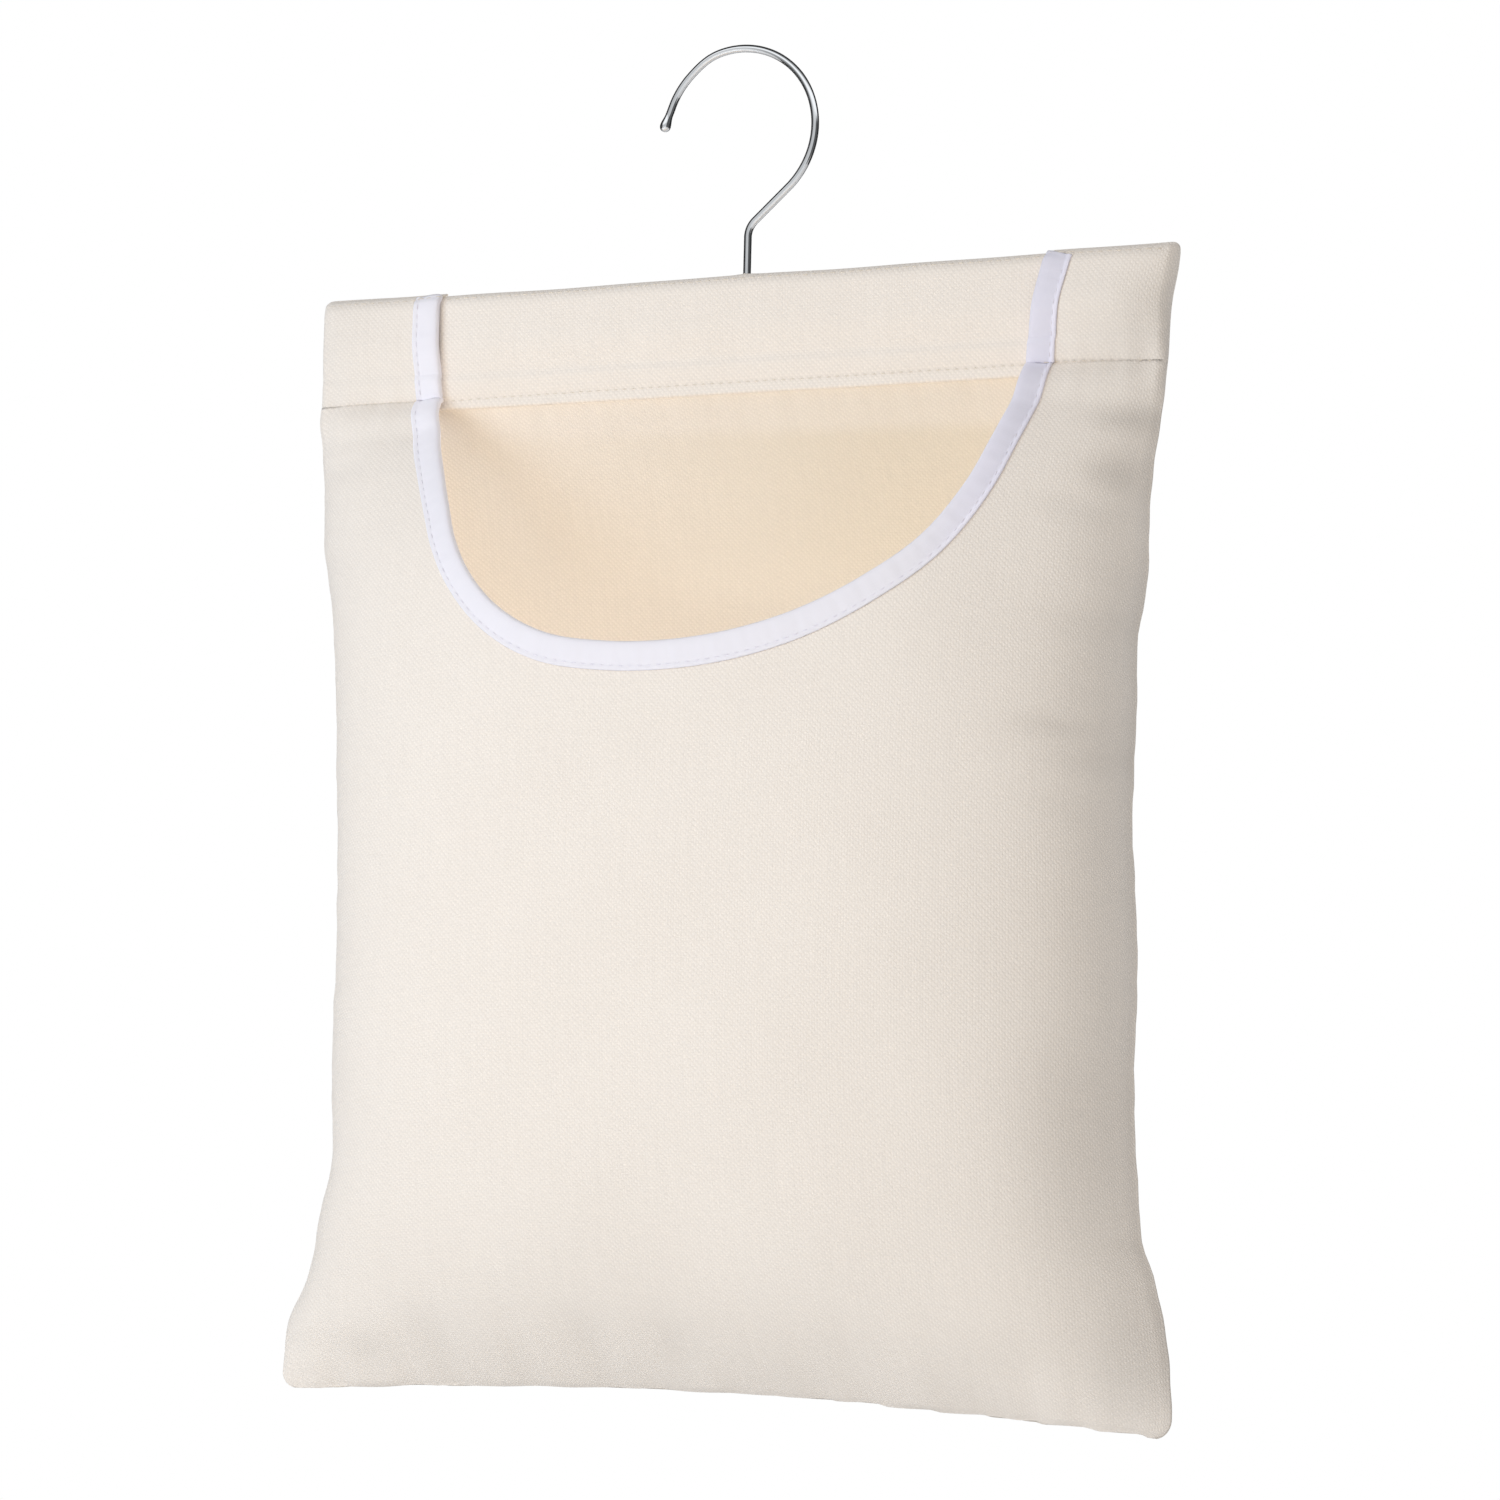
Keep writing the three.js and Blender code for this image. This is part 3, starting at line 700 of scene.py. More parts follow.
def top_band_cloth():
    """The band: down its outer leaf, round the fold of the hem and up its inner leaf."""
    columns, face_rows, leaf_rows = 361, 56, 14
    fold = CANVAS_ROOM / 2
    level = HEM_LOW - fold
    face = level * eased(face_rows, 0.9)
    leaf = np.linspace(level, level - HEM_HEIGHT, leaf_rows)
    down = np.concatenate([face, level + fold * np.sin(FOLD_TURN), leaf])
    set_back = np.concatenate([0 * face, fold * (1 - np.cos(FOLD_TURN)), 2 * fold + 0 * leaf])[:, None]
    x = np.linspace(-1, 1, columns) * (half_width(0.01) - 0.0026)
    x, drop = np.meshgrid(x, down)
    grid = on_cloth(x, drop, band_depth(x, np.minimum(drop, level)) - set_back, -1)
    length_down = run_length(down, set_back[:, 0])
    uv = np.stack([x, length_down[:, None] + 0 * x], axis=-1)
    # The band takes half of the painted shade
    return cloth_piece("top_band_cloth", settle(grid), uv, 0.5 * painted_shade_at(x, drop), False)


def mouth_stations(count, top_drop):
    """Places at even steps along the mouth's edge, ways out into the cloth as long as the tape
    is wide there, and their distance along it."""
    top_share = 1 - top_drop / SLEEVE_HEIGHT
    close_steps = 6001
    turn = np.linspace(-top_share, 1 + top_share, close_steps)
    x, drop = mouth_line(turn)
    length = run_length(x, drop)
    along = np.linspace(0, length[-1], count)
    x, drop, turn = (np.interp(along, length, value) for value in (x, drop, turn))
    ahead_x, ahead_drop = np.gradient(x), np.gradient(drop)
    wide = smooth_line(np.clip(turn, 0, 1), TAPE_PULL) / np.hypot(ahead_x, ahead_drop)
    return x, drop, -ahead_drop * wide, ahead_x * wide, along


def binding_height(away, along, drop):
    """Height of the middle of the tape's front leaf over the middle of the cloth: a little
    puffed, pressed down along its stitches and where other stitches cross it, and raised again
    in a lip at its edge."""
    puff = TAPE_PUFF * np.sin(np.pi * np.clip(away / EDGE_STITCH, 0, 1) ** 0.6)
    lip = TAPE_LIP * bell(away, BINDING_WIDTH - 0.0006, 0.0007)
    scallop = 0.65 + 0.35 * np.cos(2 * np.pi * along / STITCH_PITCH)
    groove = TAPE_GROOVE * bell(away, EDGE_STITCH, 0.0007) * scallop
    ripple = TAPE_RIPPLE * waves(along, (0.0047, 0.0079, 0.013), 91)
    ripple = ripple * np.sin(np.pi * np.clip(away / BINDING_WIDTH, 0, 1))
    crossing = bell(drop, SLEEVE_HEIGHT - 0.0008, 0.0011) + bell(drop, TOP_STITCH_DROP, 0.0009)
    return TAPE_LEVEL + puff + lip - groove + ripple - TAPE_CROSSING * crossing


def mouth_binding_tape():
    """Bias tape folded over the cut edge: a U-shaped line across it, thickened on both sides and
    carried along the mouth, on the front cloth's surface and its normals."""
    stations, leaf_points = 1040, 15
    x, drop, out_x, out_drop, along = mouth_stations(stations, TAPE_TOP_DROP)
    leaf = TAPE_FOLD + (BINDING_WIDTH - TAPE_FOLD) * np.linspace(1, 0, leaf_points) ** 0.9
    away = np.concatenate([leaf, TAPE_FOLD - TAPE_FOLD_DEPTH * np.sin(FOLD_TURN), leaf[::-1]])
    height = np.concatenate([np.ones(leaf_points), np.cos(FOLD_TURN), -np.ones(leaf_points)])
    away, along_grid = np.meshgrid(away, along)
    raised = binding_height(away, along_grid, drop[:, None] + 0 * away)
    line_height = np.where(height > 0, height * raised, height * TAPE_LEVEL)
    across_line = np.stack([away, line_height], axis=-1)
    ahead = unit(np.gradient(across_line, axis=1)) * TAPE_THICK / 2
    square = np.stack([ahead[..., 1], -ahead[..., 0]], axis=-1)
    end_one = across_line[:, :1] - ahead[:, :1] * 0.8
    end_two = across_line[:, -1:] + ahead[:, -1:] * 0.8
    other_face = (across_line - square)[:, ::-1]
    loop = np.concatenate([across_line + square, end_two, other_face, end_one], axis=1)
    away, height = loop[..., 0], loop[..., 1]
    loop_x = x[:, None] + out_x[:, None] * away
    loop_drop = np.maximum(drop[:, None] + out_drop[:, None] * away, -SHOULDER_RISE + 0.0001)
    normal = surface_normal(front_point, loop_x, loop_drop, -1)
    points = settle(front_point(loop_x, loop_drop) + normal * height[..., None])
    uv = np.stack([along[:, None] + 0 * away, away + 0.02 * (height < 0)], axis=-1)
    uv = np.concatenate([uv.reshape(-1, 2), np.zeros((2, 2))])
    ends = [points[0].mean(axis=0), points[-1].mean(axis=0)]
    faces = tube_faces(*points.shape[:2])
    return add_piece("mouth_binding_tape", np.concatenate([points.reshape(-1, 3), ends]), faces, uv)


# Stitches

def whole_turn(count):
    """Even angles round a circle, as a column."""
    return np.linspace(0, 2 * np.pi, count + 1)[:-1, None]


def thread_stitches(name, places, aheads, normals):
    """One short length of thread for each place: a tube that swells from its ends, arched over
    the cloth and dipping into it, as an ellipse along the thread times a circle across."""
    turns = whole_turn(6)
    shares = np.array([-0.92, -0.6, 0, 0.6, 0.92])
    girth = THREAD_RADIUS * np.sqrt(1 - np.abs(shares) ** 2.5)
    arch = THREAD_RADIUS * 0.9 - THREAD_SINK - STITCH_ARCH * np.abs(shares) ** 3
    sideways = np.cross(normals, aheads)
    places, aheads, normals, sideways = (rows[:, None] for rows in (places, aheads, normals, sideways))
    middle = places + aheads * (shares * STITCH_LENGTH / 2)[:, None] + normals * arch[:, None]
    circle = sideways[:, None] * np.cos(turns) + normals[:, None] * np.sin(turns)
    rings = middle[:, :, None] + circle * girth[:, None, None]
    tips = [places + aheads * hand * STITCH_LENGTH / 2 + normals * (arch[0] - 0.0001) for hand in (-1, 1)]
    each = np.concatenate([rings.reshape(len(places), -1, 3), *tips], axis=1)
    shift = (np.arange(len(places)) * each.shape[1])[:, None, None]
    faces = [(face + shift).reshape(-1, face.shape[1]) for face in tube_faces(len(shares), len(turns))]
    return add_piece(name, settle(each), faces)


def line_of_stitches(point_at, x, drop, lift, facing, seed):
    """Places, directions and normals of stitches along a line, each a little off its place."""
    chance = np.random.default_rng(seed)
    drop = drop + chance.normal(0, 0.00008, len(x))
    normal = surface_normal(point_at, x, drop, facing)
    ahead = unit(point_at(x + DIRECTION_STEP, drop) - point_at(x - DIRECTION_STEP, drop))
    ahead = unit(ahead + np.array([0, 0, 1]) * chance.normal(0, 0.03, (len(x), 1)))
    return point_at(x, drop) + normal * lift, ahead, normal


def seam_stitches(name, drop_level, seed):
    """A line of stitches across the bag: on the shoulders, the tape and the band in front, and
    on the back."""
    reach = half_width(drop_level) - 0.0035
    count = int(2 * reach / STITCH_PITCH)
    x = (np.arange(count) - (count - 1) / 2) * STITCH_PITCH
    drop = sleeve_stitch(x) if drop_level == SLEEVE_HEIGHT else np.full(count, drop_level)
    up = 1 - drop_level / SLEEVE_HEIGHT
    (left_mouth, right_mouth), _ = mouth_line(np.array([-up, 1 + up]))
    beyond = np.maximum(left_mouth - x, x - right_mouth)
    on_band = beyond < -0.0006
    on_tape = (beyond >= -0.0006) & (beyond < BINDING_WIDTH)
    on_shoulder = beyond >= BINDING_WIDTH
    skin = CANVAS_THICK / 2
    tape_lift = binding_height(0.005, 0.0, drop_level) + TAPE_THICK / 2
    lines = []
    for chosen, point_at, lift, facing in (
        (on_band, band_point, skin, -1),
        (on_tape, front_point, tape_lift, -1),
        (on_shoulder, front_point, skin, -1),
        (np.ones(count, bool), back_point, skin, 1),
    ):
        lines.append(line_of_stitches(point_at, x[chosen], drop[chosen], lift, facing, seed))
    places, aheads, normals = (np.concatenate(parts) for parts in zip(*lines))
    return thread_stitches(name, places, aheads, normals)


def binding_stitches():
    """The edge stitches of the tape, at even steps along the mouth."""
    x, drop, out_x, out_drop, along = mouth_stations(4001, top_drop=0.003)
    count = int(along[-1] / STITCH_PITCH)
    at = (np.arange(count) + 0.5) * STITCH_PITCH
    x, drop, out_x, out_drop = (np.interp(at, along, value) for value in (x, drop, out_x, out_drop))
    stitch_x, stitch_drop = x + out_x * EDGE_STITCH, drop + out_drop * EDGE_STITCH
    normal = surface_normal(front_point, stitch_x, stitch_drop, -1)
    lift = binding_height(np.full(count, EDGE_STITCH), at, stitch_drop) + TAPE_THICK / 2
    place = front_point(stitch_x, stitch_drop) + normal * lift[:, None]
    step_x, step_drop = out_drop * DIRECTION_STEP, -out_x * DIRECTION_STEP
    ahead = unit(front_point(stitch_x + step_x, stitch_drop + step_drop)
                 - front_point(stitch_x - step_x, stitch_drop - step_drop))
    return thread_stitches("binding_stitches", place, ahead, normal)


# Hook

def hook_line(stations):
    """The middle of the wire in X and Z at even steps: round the crown from the tip, straight
    down the slope, round the neck and straight down the stem. The crown's open side is drawn in
    a little. Also its distance along."""
    crown_level = WIRE_RADIUS - CROWN_RADIUS
    head_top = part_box("hook_washer")[0].z - FIT_GAP
    neck_sine, neck_cosine = math.sin(NECK_ANGLE), math.cos(NECK_ANGLE)
    start_x = CROWN_RADIUS * neck_cosine
    start_z = crown_level - CROWN_RADIUS * neck_sine
    tangent = NECK_RADIUS * math.tan(NECK_ANGLE / 2)
    slope = (start_x - STEM_X) / neck_sine - tangent
    stem_top = start_z - slope * neck_cosine - tangent * (1 + neck_cosine)
    crown = CROWN_RADIUS * (TIP_ANGLE + NECK_ANGLE)
    neck = NECK_RADIUS * NECK_ANGLE
    total = crown + slope + neck + stem_top - head_top + HEAD_HEIGHT
    along = np.linspace(-TIP_RADIUS, total, stations)
    angle = TIP_ANGLE - along / CROWN_RADIUS
    on_slope = along - crown
    left = NECK_ANGLE - (along - crown - slope) / NECK_RADIUS
    cases = [along <= crown, along <= crown + slope, along <= crown + slope + neck]
    x = np.select(cases, [
        CROWN_RADIUS * np.cos(angle),
        start_x - on_slope * neck_sine,
        STEM_X + NECK_RADIUS * (1 - np.cos(left)),
    ], STEM_X)
    z = np.select(cases, [
        crown_level + CROWN_RADIUS * np.sin(angle),
        start_z - on_slope * neck_cosine,
        stem_top + NECK_RADIUS * np.sin(left),
    ], stem_top - (along - crown - slope - neck))
    drawn = smooth_step(along, -0.006, 0.007) * (1 - smooth_step(along, 0.020, 0.037))
    return x + OPEN_DRAW * drawn, z, along, total


def hook_wire():
    """Chromed wire: a circle carried along the line. Its tip is half a ball that narrows to the
    wire's radius, and its peened head is a low dome."""
    x, z, along, total = hook_line(stations=900)
    ball = np.sqrt(np.clip(TIP_RADIUS**2 - along**2, 0, None))
    swollen = WIRE_RADIUS + (TIP_RADIUS - WIRE_RADIUS) * (1 - smooth_step(along, 0, 0.0042))
    radius = np.where(along < 0, ball, swollen)
    from_end = total - along
    radius = np.where(from_end < HEAD_HEIGHT, HEAD_RADIUS * quarter_round(from_end, HEAD_HEIGHT), radius)
    radius = np.maximum(radius, 0.00002)
    ahead = unit(np.stack([np.gradient(x), 0 * x, np.gradient(z)], axis=-1))
    side = np.stack([ahead[:, 2], 0 * x, -ahead[:, 0]], axis=-1)
    turns = whole_turn(32)
    circle = side[:, None] * np.cos(turns) + np.array([0, 1, 0]) * np.sin(turns)
    middle = np.stack([x, 0 * x, z], axis=-1)
    points = middle[:, None] + circle * radius[:, None, None]
    faces = tube_faces(*points.shape[:2])
    return add_piece("hook_wire", np.concatenate([points.reshape(-1, 3), middle[:1], middle[-1:]]), faces)


# Materials

class Reading:
    """A socket of a material's nodes. Python's operators add its Math nodes."""

    def __init__(self, finish, socket):
        self.finish = finish
        self.socket = socket

    def math(self, operation, *others):
        return self.finish.node("Math", {"operation": operation}, dict(enumerate((self, *others))))

    def __add__(self, other):
        return self.math("ADD", other)

    def __sub__(self, other):
        return self.math("SUBTRACT", other)

    def __rsub__(self, other):
        return self.finish.node("Math", {"operation": "SUBTRACT"}, {0: other, 1: self})

    def __mul__(self, other):
        return self.math("MULTIPLY", other)

    __radd__ = __add__
    __rmul__ = __mul__

    def sine(self):
        return self.math("SINE")

    def size(self):
        return self.math("ABSOLUTE")

    def between(self, low, high):
        """0 at low to 1 at high, held outside them."""
        settings = {"interpolation_type": "SMOOTHSTEP"}
        return self.finish.node("MapRange", settings, {0: self, 1: low, 2: high, 3: 0.0, 4: 1.0})


class Finish:
    """The nodes of a new material, or of the world."""

    def __init__(self, name, family=bpy.data.materials):
        self.material = family.new(name)
        self.material.use_nodes = True
        self.tree = self.material.node_tree
        self.tree.nodes.clear()

    def node(self, kind, settings=None, inputs=None, output=0):
        """Adds a shader node: its settings first, then the values or links of its sockets."""
        made = self.tree.nodes.new("ShaderNode" + kind)
        for name, value in (settings or {}).items():
            setattr(made, name, value)
        for name, value in (inputs or {}).items():
            if isinstance(value, Reading):
                self.tree.links.new(value.socket, made.inputs[name])
            elif made.inputs[name].type == "RGBA":
                made.inputs[name].default_value = (*value, 1)
            else:
                made.inputs[name].default_value = value
        return Reading(self, made.outputs[output])

    def coordinates(self):
        """Places in the piece's own axes, in metres."""
        return self.node("TexCoord", output=3)

    def attribute(self, name):
        """A value that the mesh carries at its points."""
        return self.node("Attribute", {"attribute_name": name}, output=2)

    def parts(self, vector):
        split = self.node("SeparateXYZ", None, {0: vector})
        return tuple(Reading(self, split.socket.node.outputs[n]) for n in range(3))

    def place(self, x, y, z=0.0):
        return self.node("CombineXYZ", None, {0: x, 1: y, 2: z})

    def noise(self, vector, scale, detail=2.0, roughness=0.5):
        inputs = {"Vector": vector, "Scale": scale, "Detail": detail, "Roughness": roughness}
        return self.node("TexNoise", {"noise_dimensions": "3D"}, inputs)

    def mix(self, factor, one, other, blend="MIX"):
        settings = {"data_type": "RGBA", "blend_type": blend}
        return self.node("Mix", settings, {0: factor, 6: one, 7: other}, 2)

    def shade(self, colour, value):
        """A colour made lighter or darker by a value about 1."""
        return self.node("VectorMath", {"operation": "SCALE"}, {0: colour, 3: value})

    def mix_shader(self, factor, one, other):
        return self.node("MixShader", None, {0: factor, 1: one, 2: other})

    def bump(self, height, distance, strength):
        inputs = {"Height": height, "Distance": distance, "Strength": strength}
        return self.node("Bump", None, inputs)

    def done(self, glow=None, **inputs):
        """Ends the material. Cloth with a glow lets a share of the light on its far side pass,
        tinted, through each of its two faces."""
        named = {name.replace("_", " "): value for name, value in inputs.items()}
        shader = self.node("BsdfPrincipled", None, named)
        if glow:
            share, tint = glow
            passing = self.node("LightPath", output=1) * share
            clear = self.node("BsdfTransparent", None, {0: tint})
            shader = self.mix_shader(passing, shader, clear)
        self.node_output(shader)
        return self.material

    def node_output(self, shader, kind="OutputMaterial"):
        out = self.tree.nodes.new("ShaderNode" + kind)
        self.tree.links.new(shader.socket, out.inputs[0])

    def other(self, reading, name):
        """Another output of the node that a reading comes from."""
        return Reading(self, reading.socket.node.outputs[name])


def linear(red, green, blue):
    """A colour as it is seen, from 0 to 255, in the linear light that shaders use."""
    seen = np.array([red, green, blue]) / 255
    light = np.where(seen <= 0.04045, seen / 12.92, ((seen + 0.055) / 1.055) ** 2.4)
    return tuple(light.tolist())


# Pitch of the weaves, length of the thread's twist, and what canvas lets through
CANVAS_PITCH = 0.00098
TAPE_PITCH = 0.00034
PLY_LENGTH = 0.0007
CANVAS_GLOW = (0.98, (1.0, 0.99, 0.97))


def woven(finish, pitch):
    """Plain weave on the cloth's flat places: threads one pitch apart each way, lifted in turn.
    Returns the lift of the threads, their height, the slant that the eye sees, the thick
    places and the flat places."""
    flat = finish.node("UVMap", {"uv_map": "cloth"})
    u, v, _ = finish.parts(flat)
    warp_slub = finish.noise(finish.place(u * (1 / pitch), v * 28.0), 1.0, 2.0)
    weft_slub = finish.noise(finish.place(u * 28.0, v * (1 / pitch) + 40.0), 1.0, 2.0)
    across = (u * (math.pi / pitch) + (weft_slub - 0.5) * 0.9).sine()
    down = (v * (math.pi / pitch) + (warp_slub - 0.5) * 0.9).sine()
    over = across * down
    ridges = across.size() * down.size()
    slant = ((u - v) * (math.pi / pitch) + (warp_slub - 0.5) * 0.9).sine()
    slub = warp_slub * 1.3 + weft_slub * 0.5 - 0.9
    return over, ridges, slant, slub, flat


def canvas_finish():
    """Natural canvas: plain weave with uneven threads, with painted warm bounce light and shade on
    its inner face, and painted shade carried by the mesh.
    """
    finish = Finish("natural_canvas")
    over, ridges, slant, slub, flat = woven(finish, CANVAS_PITCH)
    inner_painted_light = finish.attribute("inner_painted_light")
    cloud = finish.noise(flat, 22.0, 3.0)
    fluff = finish.noise(flat, 900.0, 2.0)
    # Painted shade carried by the mesh darkens the canvas's colour
    painted_shade = finish.attribute("painted_shade")
    weave = (over * 0.032 + slant * 0.024 + (ridges - 0.4) * 0.05) * (0.92 - inner_painted_light * 0.42)
    tone = 1.0 + weave + slub * 0.045 + (cloud - 0.5) * 0.04 + (fluff - 0.5) * 0.07 - painted_shade * 0.34
    # The inner face's warmer, darker colour is painted bounce light and shade
    ground = finish.mix(inner_painted_light, linear(242, 234, 226), linear(231, 220, 203))
    warmth = finish.mix((cloud - 0.5) * 0.5 + 0.5, (1.0, 0.992, 0.985), (0.992, 1.0, 1.008))
    colour = finish.mix(1.0, finish.shade(ground, tone), warmth, "MULTIPLY")
    height = over * 0.35 + slant * 0.3 + ridges + slub * 0.5 + fluff * 0.5
    normal = finish.bump(height, 0.00018, 0.40)
    return finish.done(
        Base_Color=colour, Roughness=0.86 + slub * 0.10, Normal=normal, Sheen_Weight=0.12,
        Sheen_Roughness=0.5, Specular_IOR_Level=0.25, glow=CANVAS_GLOW)


def tape_finish():
    """Bias tape: a finer, closer weave, cool white, with a slight sheen on its folds, painted shade and
    a painted highlight on its lip at its right end over the sleeve, and painted light on its left
    side under the sleeve's stitches.
    """
    finish = Finish("binding_tape_cotton")
    over, ridges, _, slub, flat = woven(finish, TAPE_PITCH)
    cloud = finish.noise(flat, 60.0, 2.0)
    across, _, level = finish.parts(finish.coordinates())
    # Painted shade darkens the tape at the right end of the sleeve
    tone = 1.0 + over * 0.012 + slub * 0.03 + (cloud - 0.5) * 0.03 - across.between(0.106, 0.122) * 0.11
    right = across.between(0.085, 0.115)
    _, away, _ = finish.parts(flat)
    # Painted highlight on the raised lip at the tape's edge, on the right side
    lip = away.between(0.0078, 0.0088) * right
    cool = finish.mix(right, linear(241, 239, 247), linear(240, 238, 252))
    # Painted light on the tape's left side, most just below the sleeve's stitches
    left = (across * -1.0).between(0.090, 0.112)
    hung = level * -1.0
    painted_light_under_stitches = hung.between(0.1215, 0.1245) * (1.0 - hung.between(0.130, 0.165))
    colour = finish.shade(cool, tone + lip * 0.08 + left * (painted_light_under_stitches * 0.06 + 0.01))
    normal = finish.bump(ridges + slub * 0.8, 0.00008, 0.4)
    return finish.done(
        Base_Color=colour, Roughness=0.72 + slub * 0.08, Normal=normal, Sheen_Weight=0.15,
        Sheen_Roughness=0.4, Specular_IOR_Level=0.3)


def thread_finish(name, tint):
    """Sewing thread: two plies that twist, and a little fluff."""
    finish = Finish(name)
    coordinates = finish.coordinates()
    x, y, z = finish.parts(coordinates)
    ply = ((x + z + y) * (2 * math.pi / PLY_LENGTH)).sine()
    fluff = finish.noise(coordinates, 2500.0, 2.0)
    colour = finish.shade(tint, 1.0 + ply * 0.08 + (fluff - 0.5) * 0.2)
    normal = finish.bump(ply + fluff, 0.00006, 0.5)
    return finish.done(Base_Color=colour, Roughness=0.65, Normal=normal, Sheen_Weight=0.1)


def chrome_finish():
    """Bright chrome plate with a faint haze and very fine drawn lines."""
    finish = Finish("hook_chrome")
    coordinates = finish.coordinates()
    haze = finish.noise(coordinates, 180.0, 3.0)
    drawn = finish.noise(coordinates, 2600.0, 1.0)
    colour = finish.mix(haze, linear(230, 232, 235), linear(240, 241, 243))
    normal = finish.bump(drawn, 0.00001, 0.25)
    return finish.done(Base_Color=colour, Metallic=1.0, Roughness=0.04 + haze * 0.07, Normal=normal)


def steel_finish():
    """Brushed steel: fine rings and a satin haze."""
    finish = Finish("washer_brushed_steel")
    coordinates = finish.coordinates()
    grain = finish.noise(coordinates, 1500.0, 2.0)
    colour = finish.mix(grain, linear(168, 170, 172), linear(196, 198, 200))
    return finish.done(Base_Color=colour, Metallic=1.0, Roughness=0.30 + grain * 0.15)


def wood_finish():
    """Planed pale wood: grain stretched along the bar, with fine dark pores."""
    finish = Finish("bar_pale_wood")
    coordinates = finish.coordinates()
    x, y, z = finish.parts(coordinates)
    rings = finish.noise(finish.place(x * 6.0, y * 160.0, z * 160.0), 1.0, 4.0, 0.6)
    pores = finish.noise(finish.place(x * 40.0, y * 1800.0, z * 1800.0), 1.0, 2.0).between(0.58, 0.72)
    colour = finish.mix(rings, linear(196, 158, 112), linear(226, 196, 152))
    colour = finish.mix(pores * 0.5, colour, linear(140, 104, 70))
    normal = finish.bump(rings - pores * 0.5, 0.0002, 0.3)
    return finish.done(Base_Color=colour, Roughness=0.55 + pores * 0.2, Normal=normal)


# The object's pieces and what each takes its finish from

canvas = canvas_finish()
tape = tape_finish()
seam_thread = thread_finish("seam_thread", linear(228, 219, 206))
tape_thread = thread_finish("tape_thread", linear(235, 232, 242))

front = front_cloth()
back = back_cloth()
band = top_band_cloth()
binding = mouth_binding_tape()
sleeve_line = seam_stitches("sleeve_stitches", SLEEVE_HEIGHT, 5)
top_line = seam_stitches("top_edge_stitches", TOP_STITCH_DROP, 6)
edge_line = binding_stitches()
wire = hook_wire()

for piece, body, node, slot, material in (
    (front, "bag", "front_panel", "canvas", canvas),
    (back, "bag", "back_panel", "canvas", canvas),
    (band, "bag", "top_band", "canvas", canvas),
    (binding, "bag", "mouth_binding", "binding_tape", tape),
    (sleeve_line, "bag", None, "canvas", seam_thread),
    (top_line, "bag", None, "canvas", seam_thread),
    (edge_line, "bag", None, "binding_tape", tape_thread),
    (wire, "hook", "hook", "hook_wire", chrome_finish()),
):
    piece.data.materials.append(material)
    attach(piece, body)
    if node:
        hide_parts(node)

for node, material in (("hook_washer", steel_finish()), ("hanger_bar", wood_finish())):
    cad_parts[node].material_slots[0].material = material

# Floor, light and camera

FLOOR_LEVEL = cad_box[0].z - 0.35
FLOOR_REACH = 1.6
FLOOR_GLOW = 0.80
WORLD_LEVEL = 0.462
WHITE = (1.0, 1.0, 1.0)
LAMPS = (
    # name, degrees to the right and up, distance, size, power, colour
    ("key_light", -32, 6, 1.2, 0.7, 4.3, (0.85, 1.0, 1.17)),
    ("front_light", 0, 2, 1.4, 0.9, 4.85, (1.15, 1.0, 0.80)),
    ("back_light", 166, 22, 2.4, 1.6, 26.0, WHITE),
)


def floor_finish():
    """White paper, seen white by the camera, that keeps its shadow. Metal sees it white too, and
    darker behind the bag."""
    finish = Finish("studio_floor")
    camera_ray = finish.node("LightPath")
    _, behind, _ = finish.parts(finish.coordinates())
    in_metal = finish.other(camera_ray, "Is Glossy Ray") * (1.0 - behind.between(-0.5, 0.3)) * 0.3
    seen = camera_ray.math("MAXIMUM", in_metal)
    shader = finish.node("BsdfDiffuse", None, {0: (0.80, 0.80, 0.80)})
    glow = finish.node("Emission", None, {0: WHITE, 1: FLOOR_GLOW})
    total = finish.node("AddShader", None, {0: shader, 1: glow})
    finish.node_output(finish.mix_shader(seen, shader, total))
    return finish.material


def studio_world():
    """A pale even light. The camera sees it white, and metal sees a white panel in front, a
    dark screen to the right, a grey wall to the left and a dim room behind."""
    finish = Finish("studio_world", bpy.data.worlds)
    camera_ray = finish.node("LightPath")
    glossy_ray = finish.other(camera_ray, "Is Glossy Ray")
    clear_ray = finish.other(camera_ray, "Is Transmission Ray")
    way = finish.node("TexCoord")

    def towards(x, y, z):
        settings = {"operation": "DOT_PRODUCT"}
        return finish.node("VectorMath", settings, {0: way, 1: (x, y, z)}, 1)

    def background(colour, level):
        return finish.node("Background", None, {0: colour, 1: level})

    right = towards(0.918, 0.397, 0)
    front = towards(0.396, -0.914, -0.09)
    up = towards(0, 0, 1)
    ahead = front.between(0.05, 0.45)
    screen = right.between(0.22, 0.36) * (1.0 - up.between(0.22, 0.42)) * up.between(-0.50, -0.32)
    wall = (right * -1.0).between(0.70, 0.88) * (1.0 - up.between(0.30, 0.60))
    ceiling = up.between(0.62, 0.85)
    panel = 0.58 + (up - 0.09).between(0.10, 0.34) * 0.52 + (up * -1.0).between(0.02, 0.30) * 0.25
    in_metal = 0.03 + ahead * panel * (1.0 - screen * 0.88) * (1.0 - wall * 0.6) * (1.0 - ceiling * 0.65)
    mirrored = background((0.98, 1.0, 1.01), in_metal)
    lit = finish.mix_shader(glossy_ray, background(WHITE, WORLD_LEVEL), mirrored)
    seen = camera_ray.math("MAXIMUM", clear_ray)
    whole = finish.mix_shader(seen, lit, background(WHITE, 1.0))
    finish.node_output(whole, "OutputWorld")
    return finish.material


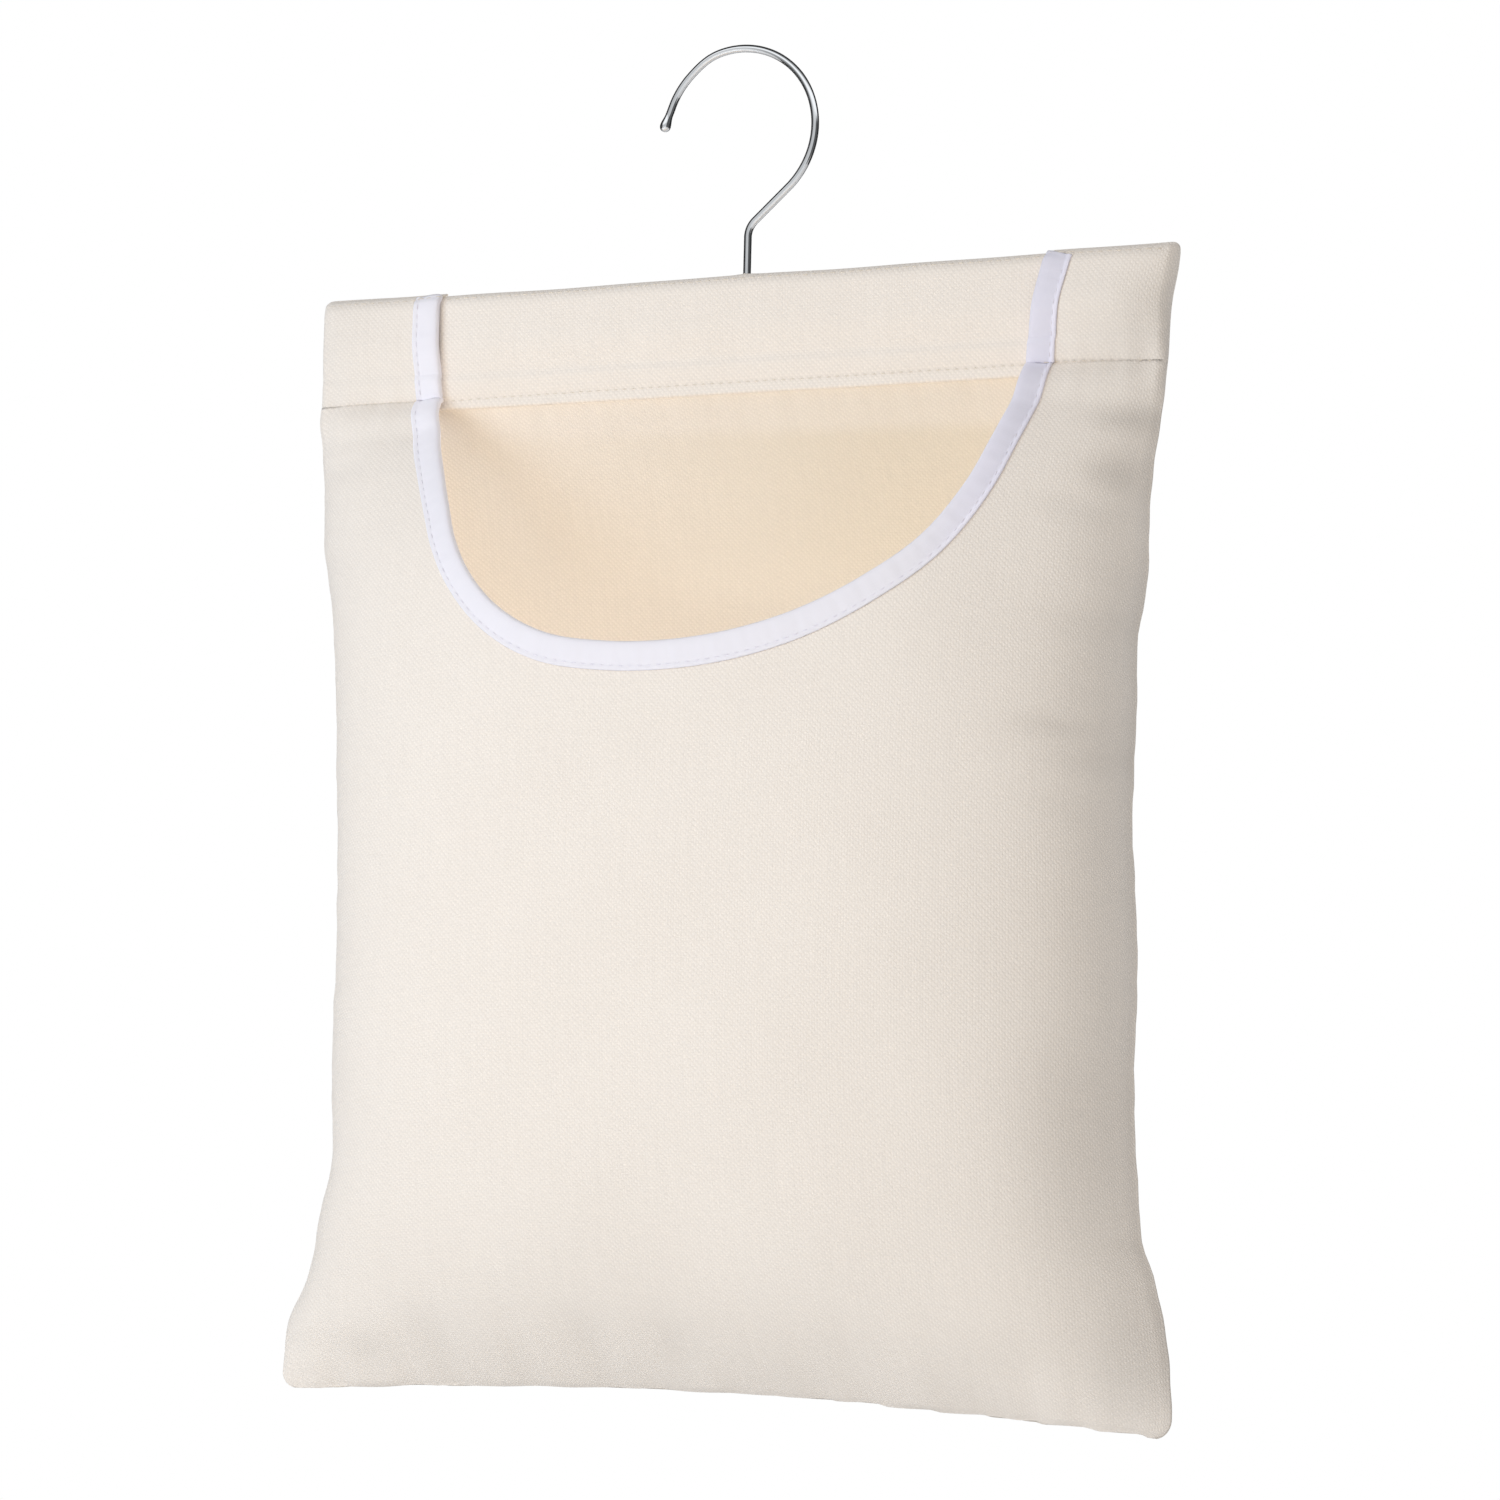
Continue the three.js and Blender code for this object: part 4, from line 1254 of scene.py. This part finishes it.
def direction(right, up):
    """The way from the bag, as degrees to the right of its front and degrees up."""
    turn, lift = math.radians(right), math.radians(up)
    return Vector((math.sin(turn) * math.cos(lift), -math.cos(turn) * math.cos(lift), math.sin(lift)))


def studio():
    """A white floor under the bag, a pale world, a soft key from the front left, a light in
    front and a large one behind."""
    corners = np.array([[-1, -1, 0], [1, -1, 0], [1, 1, 0], [-1, 1, 0]]) * FLOOR_REACH
    floor = add_piece("studio_floor", corners + [0, 0, FLOOR_LEVEL], [np.array([[0, 1, 2, 3]])])
    floor.data.materials.append(floor_finish())
    bpy.context.scene.world = studio_world()

    target = Vector((0, 0, -0.28))
    for name, right, up, distance, size, power, colour in LAMPS:
        away = direction(right, up)
        lamp = bpy.data.lights.new(name, "AREA")
        lamp.size = size
        lamp.energy = power
        lamp.color = colour
        holder = bpy.data.objects.new(name, lamp)
        holder.location = target + away * distance
        holder.rotation_mode = "QUATERNION"
        holder.rotation_quaternion = (-away).to_track_quat("-Z", "Y")
        holder.visible_glossy = False
        bpy.context.scene.collection.objects.link(holder)


def photo_camera():
    """The photograph's view: from 23 degrees to the right of the front and a little below."""
    degrees_right, degrees_up = 23.4, -5.32
    roll = math.radians(1.38)
    target = Vector((0.0105, 0, -0.2554))
    distance = 1.548
    away = direction(degrees_right, degrees_up)
    turn = math.radians(degrees_right)
    right = Vector((math.cos(turn), math.sin(turn), 0))
    up = away.cross(right)
    right_rolled = right * math.cos(roll) + up * math.sin(roll)
    up_rolled = up * math.cos(roll) - right * math.sin(roll)
    sensor, focal_pixels, picture_pixels = 36, 4326, 1500
    camera = bpy.data.objects.new("photo_camera", bpy.data.cameras.new("photo_camera"))
    camera.data.sensor_width = sensor
    camera.data.lens = sensor * focal_pixels / picture_pixels
    turned = Matrix((right_rolled, up_rolled, away)).transposed()
    camera.matrix_world = Matrix.Translation(target + away * distance) @ turned.to_4x4()
    bpy.context.scene.collection.objects.link(camera)
    bpy.context.scene.camera = camera


studio()
photo_camera()
bpy.context.scene.view_settings.view_transform = "Standard"
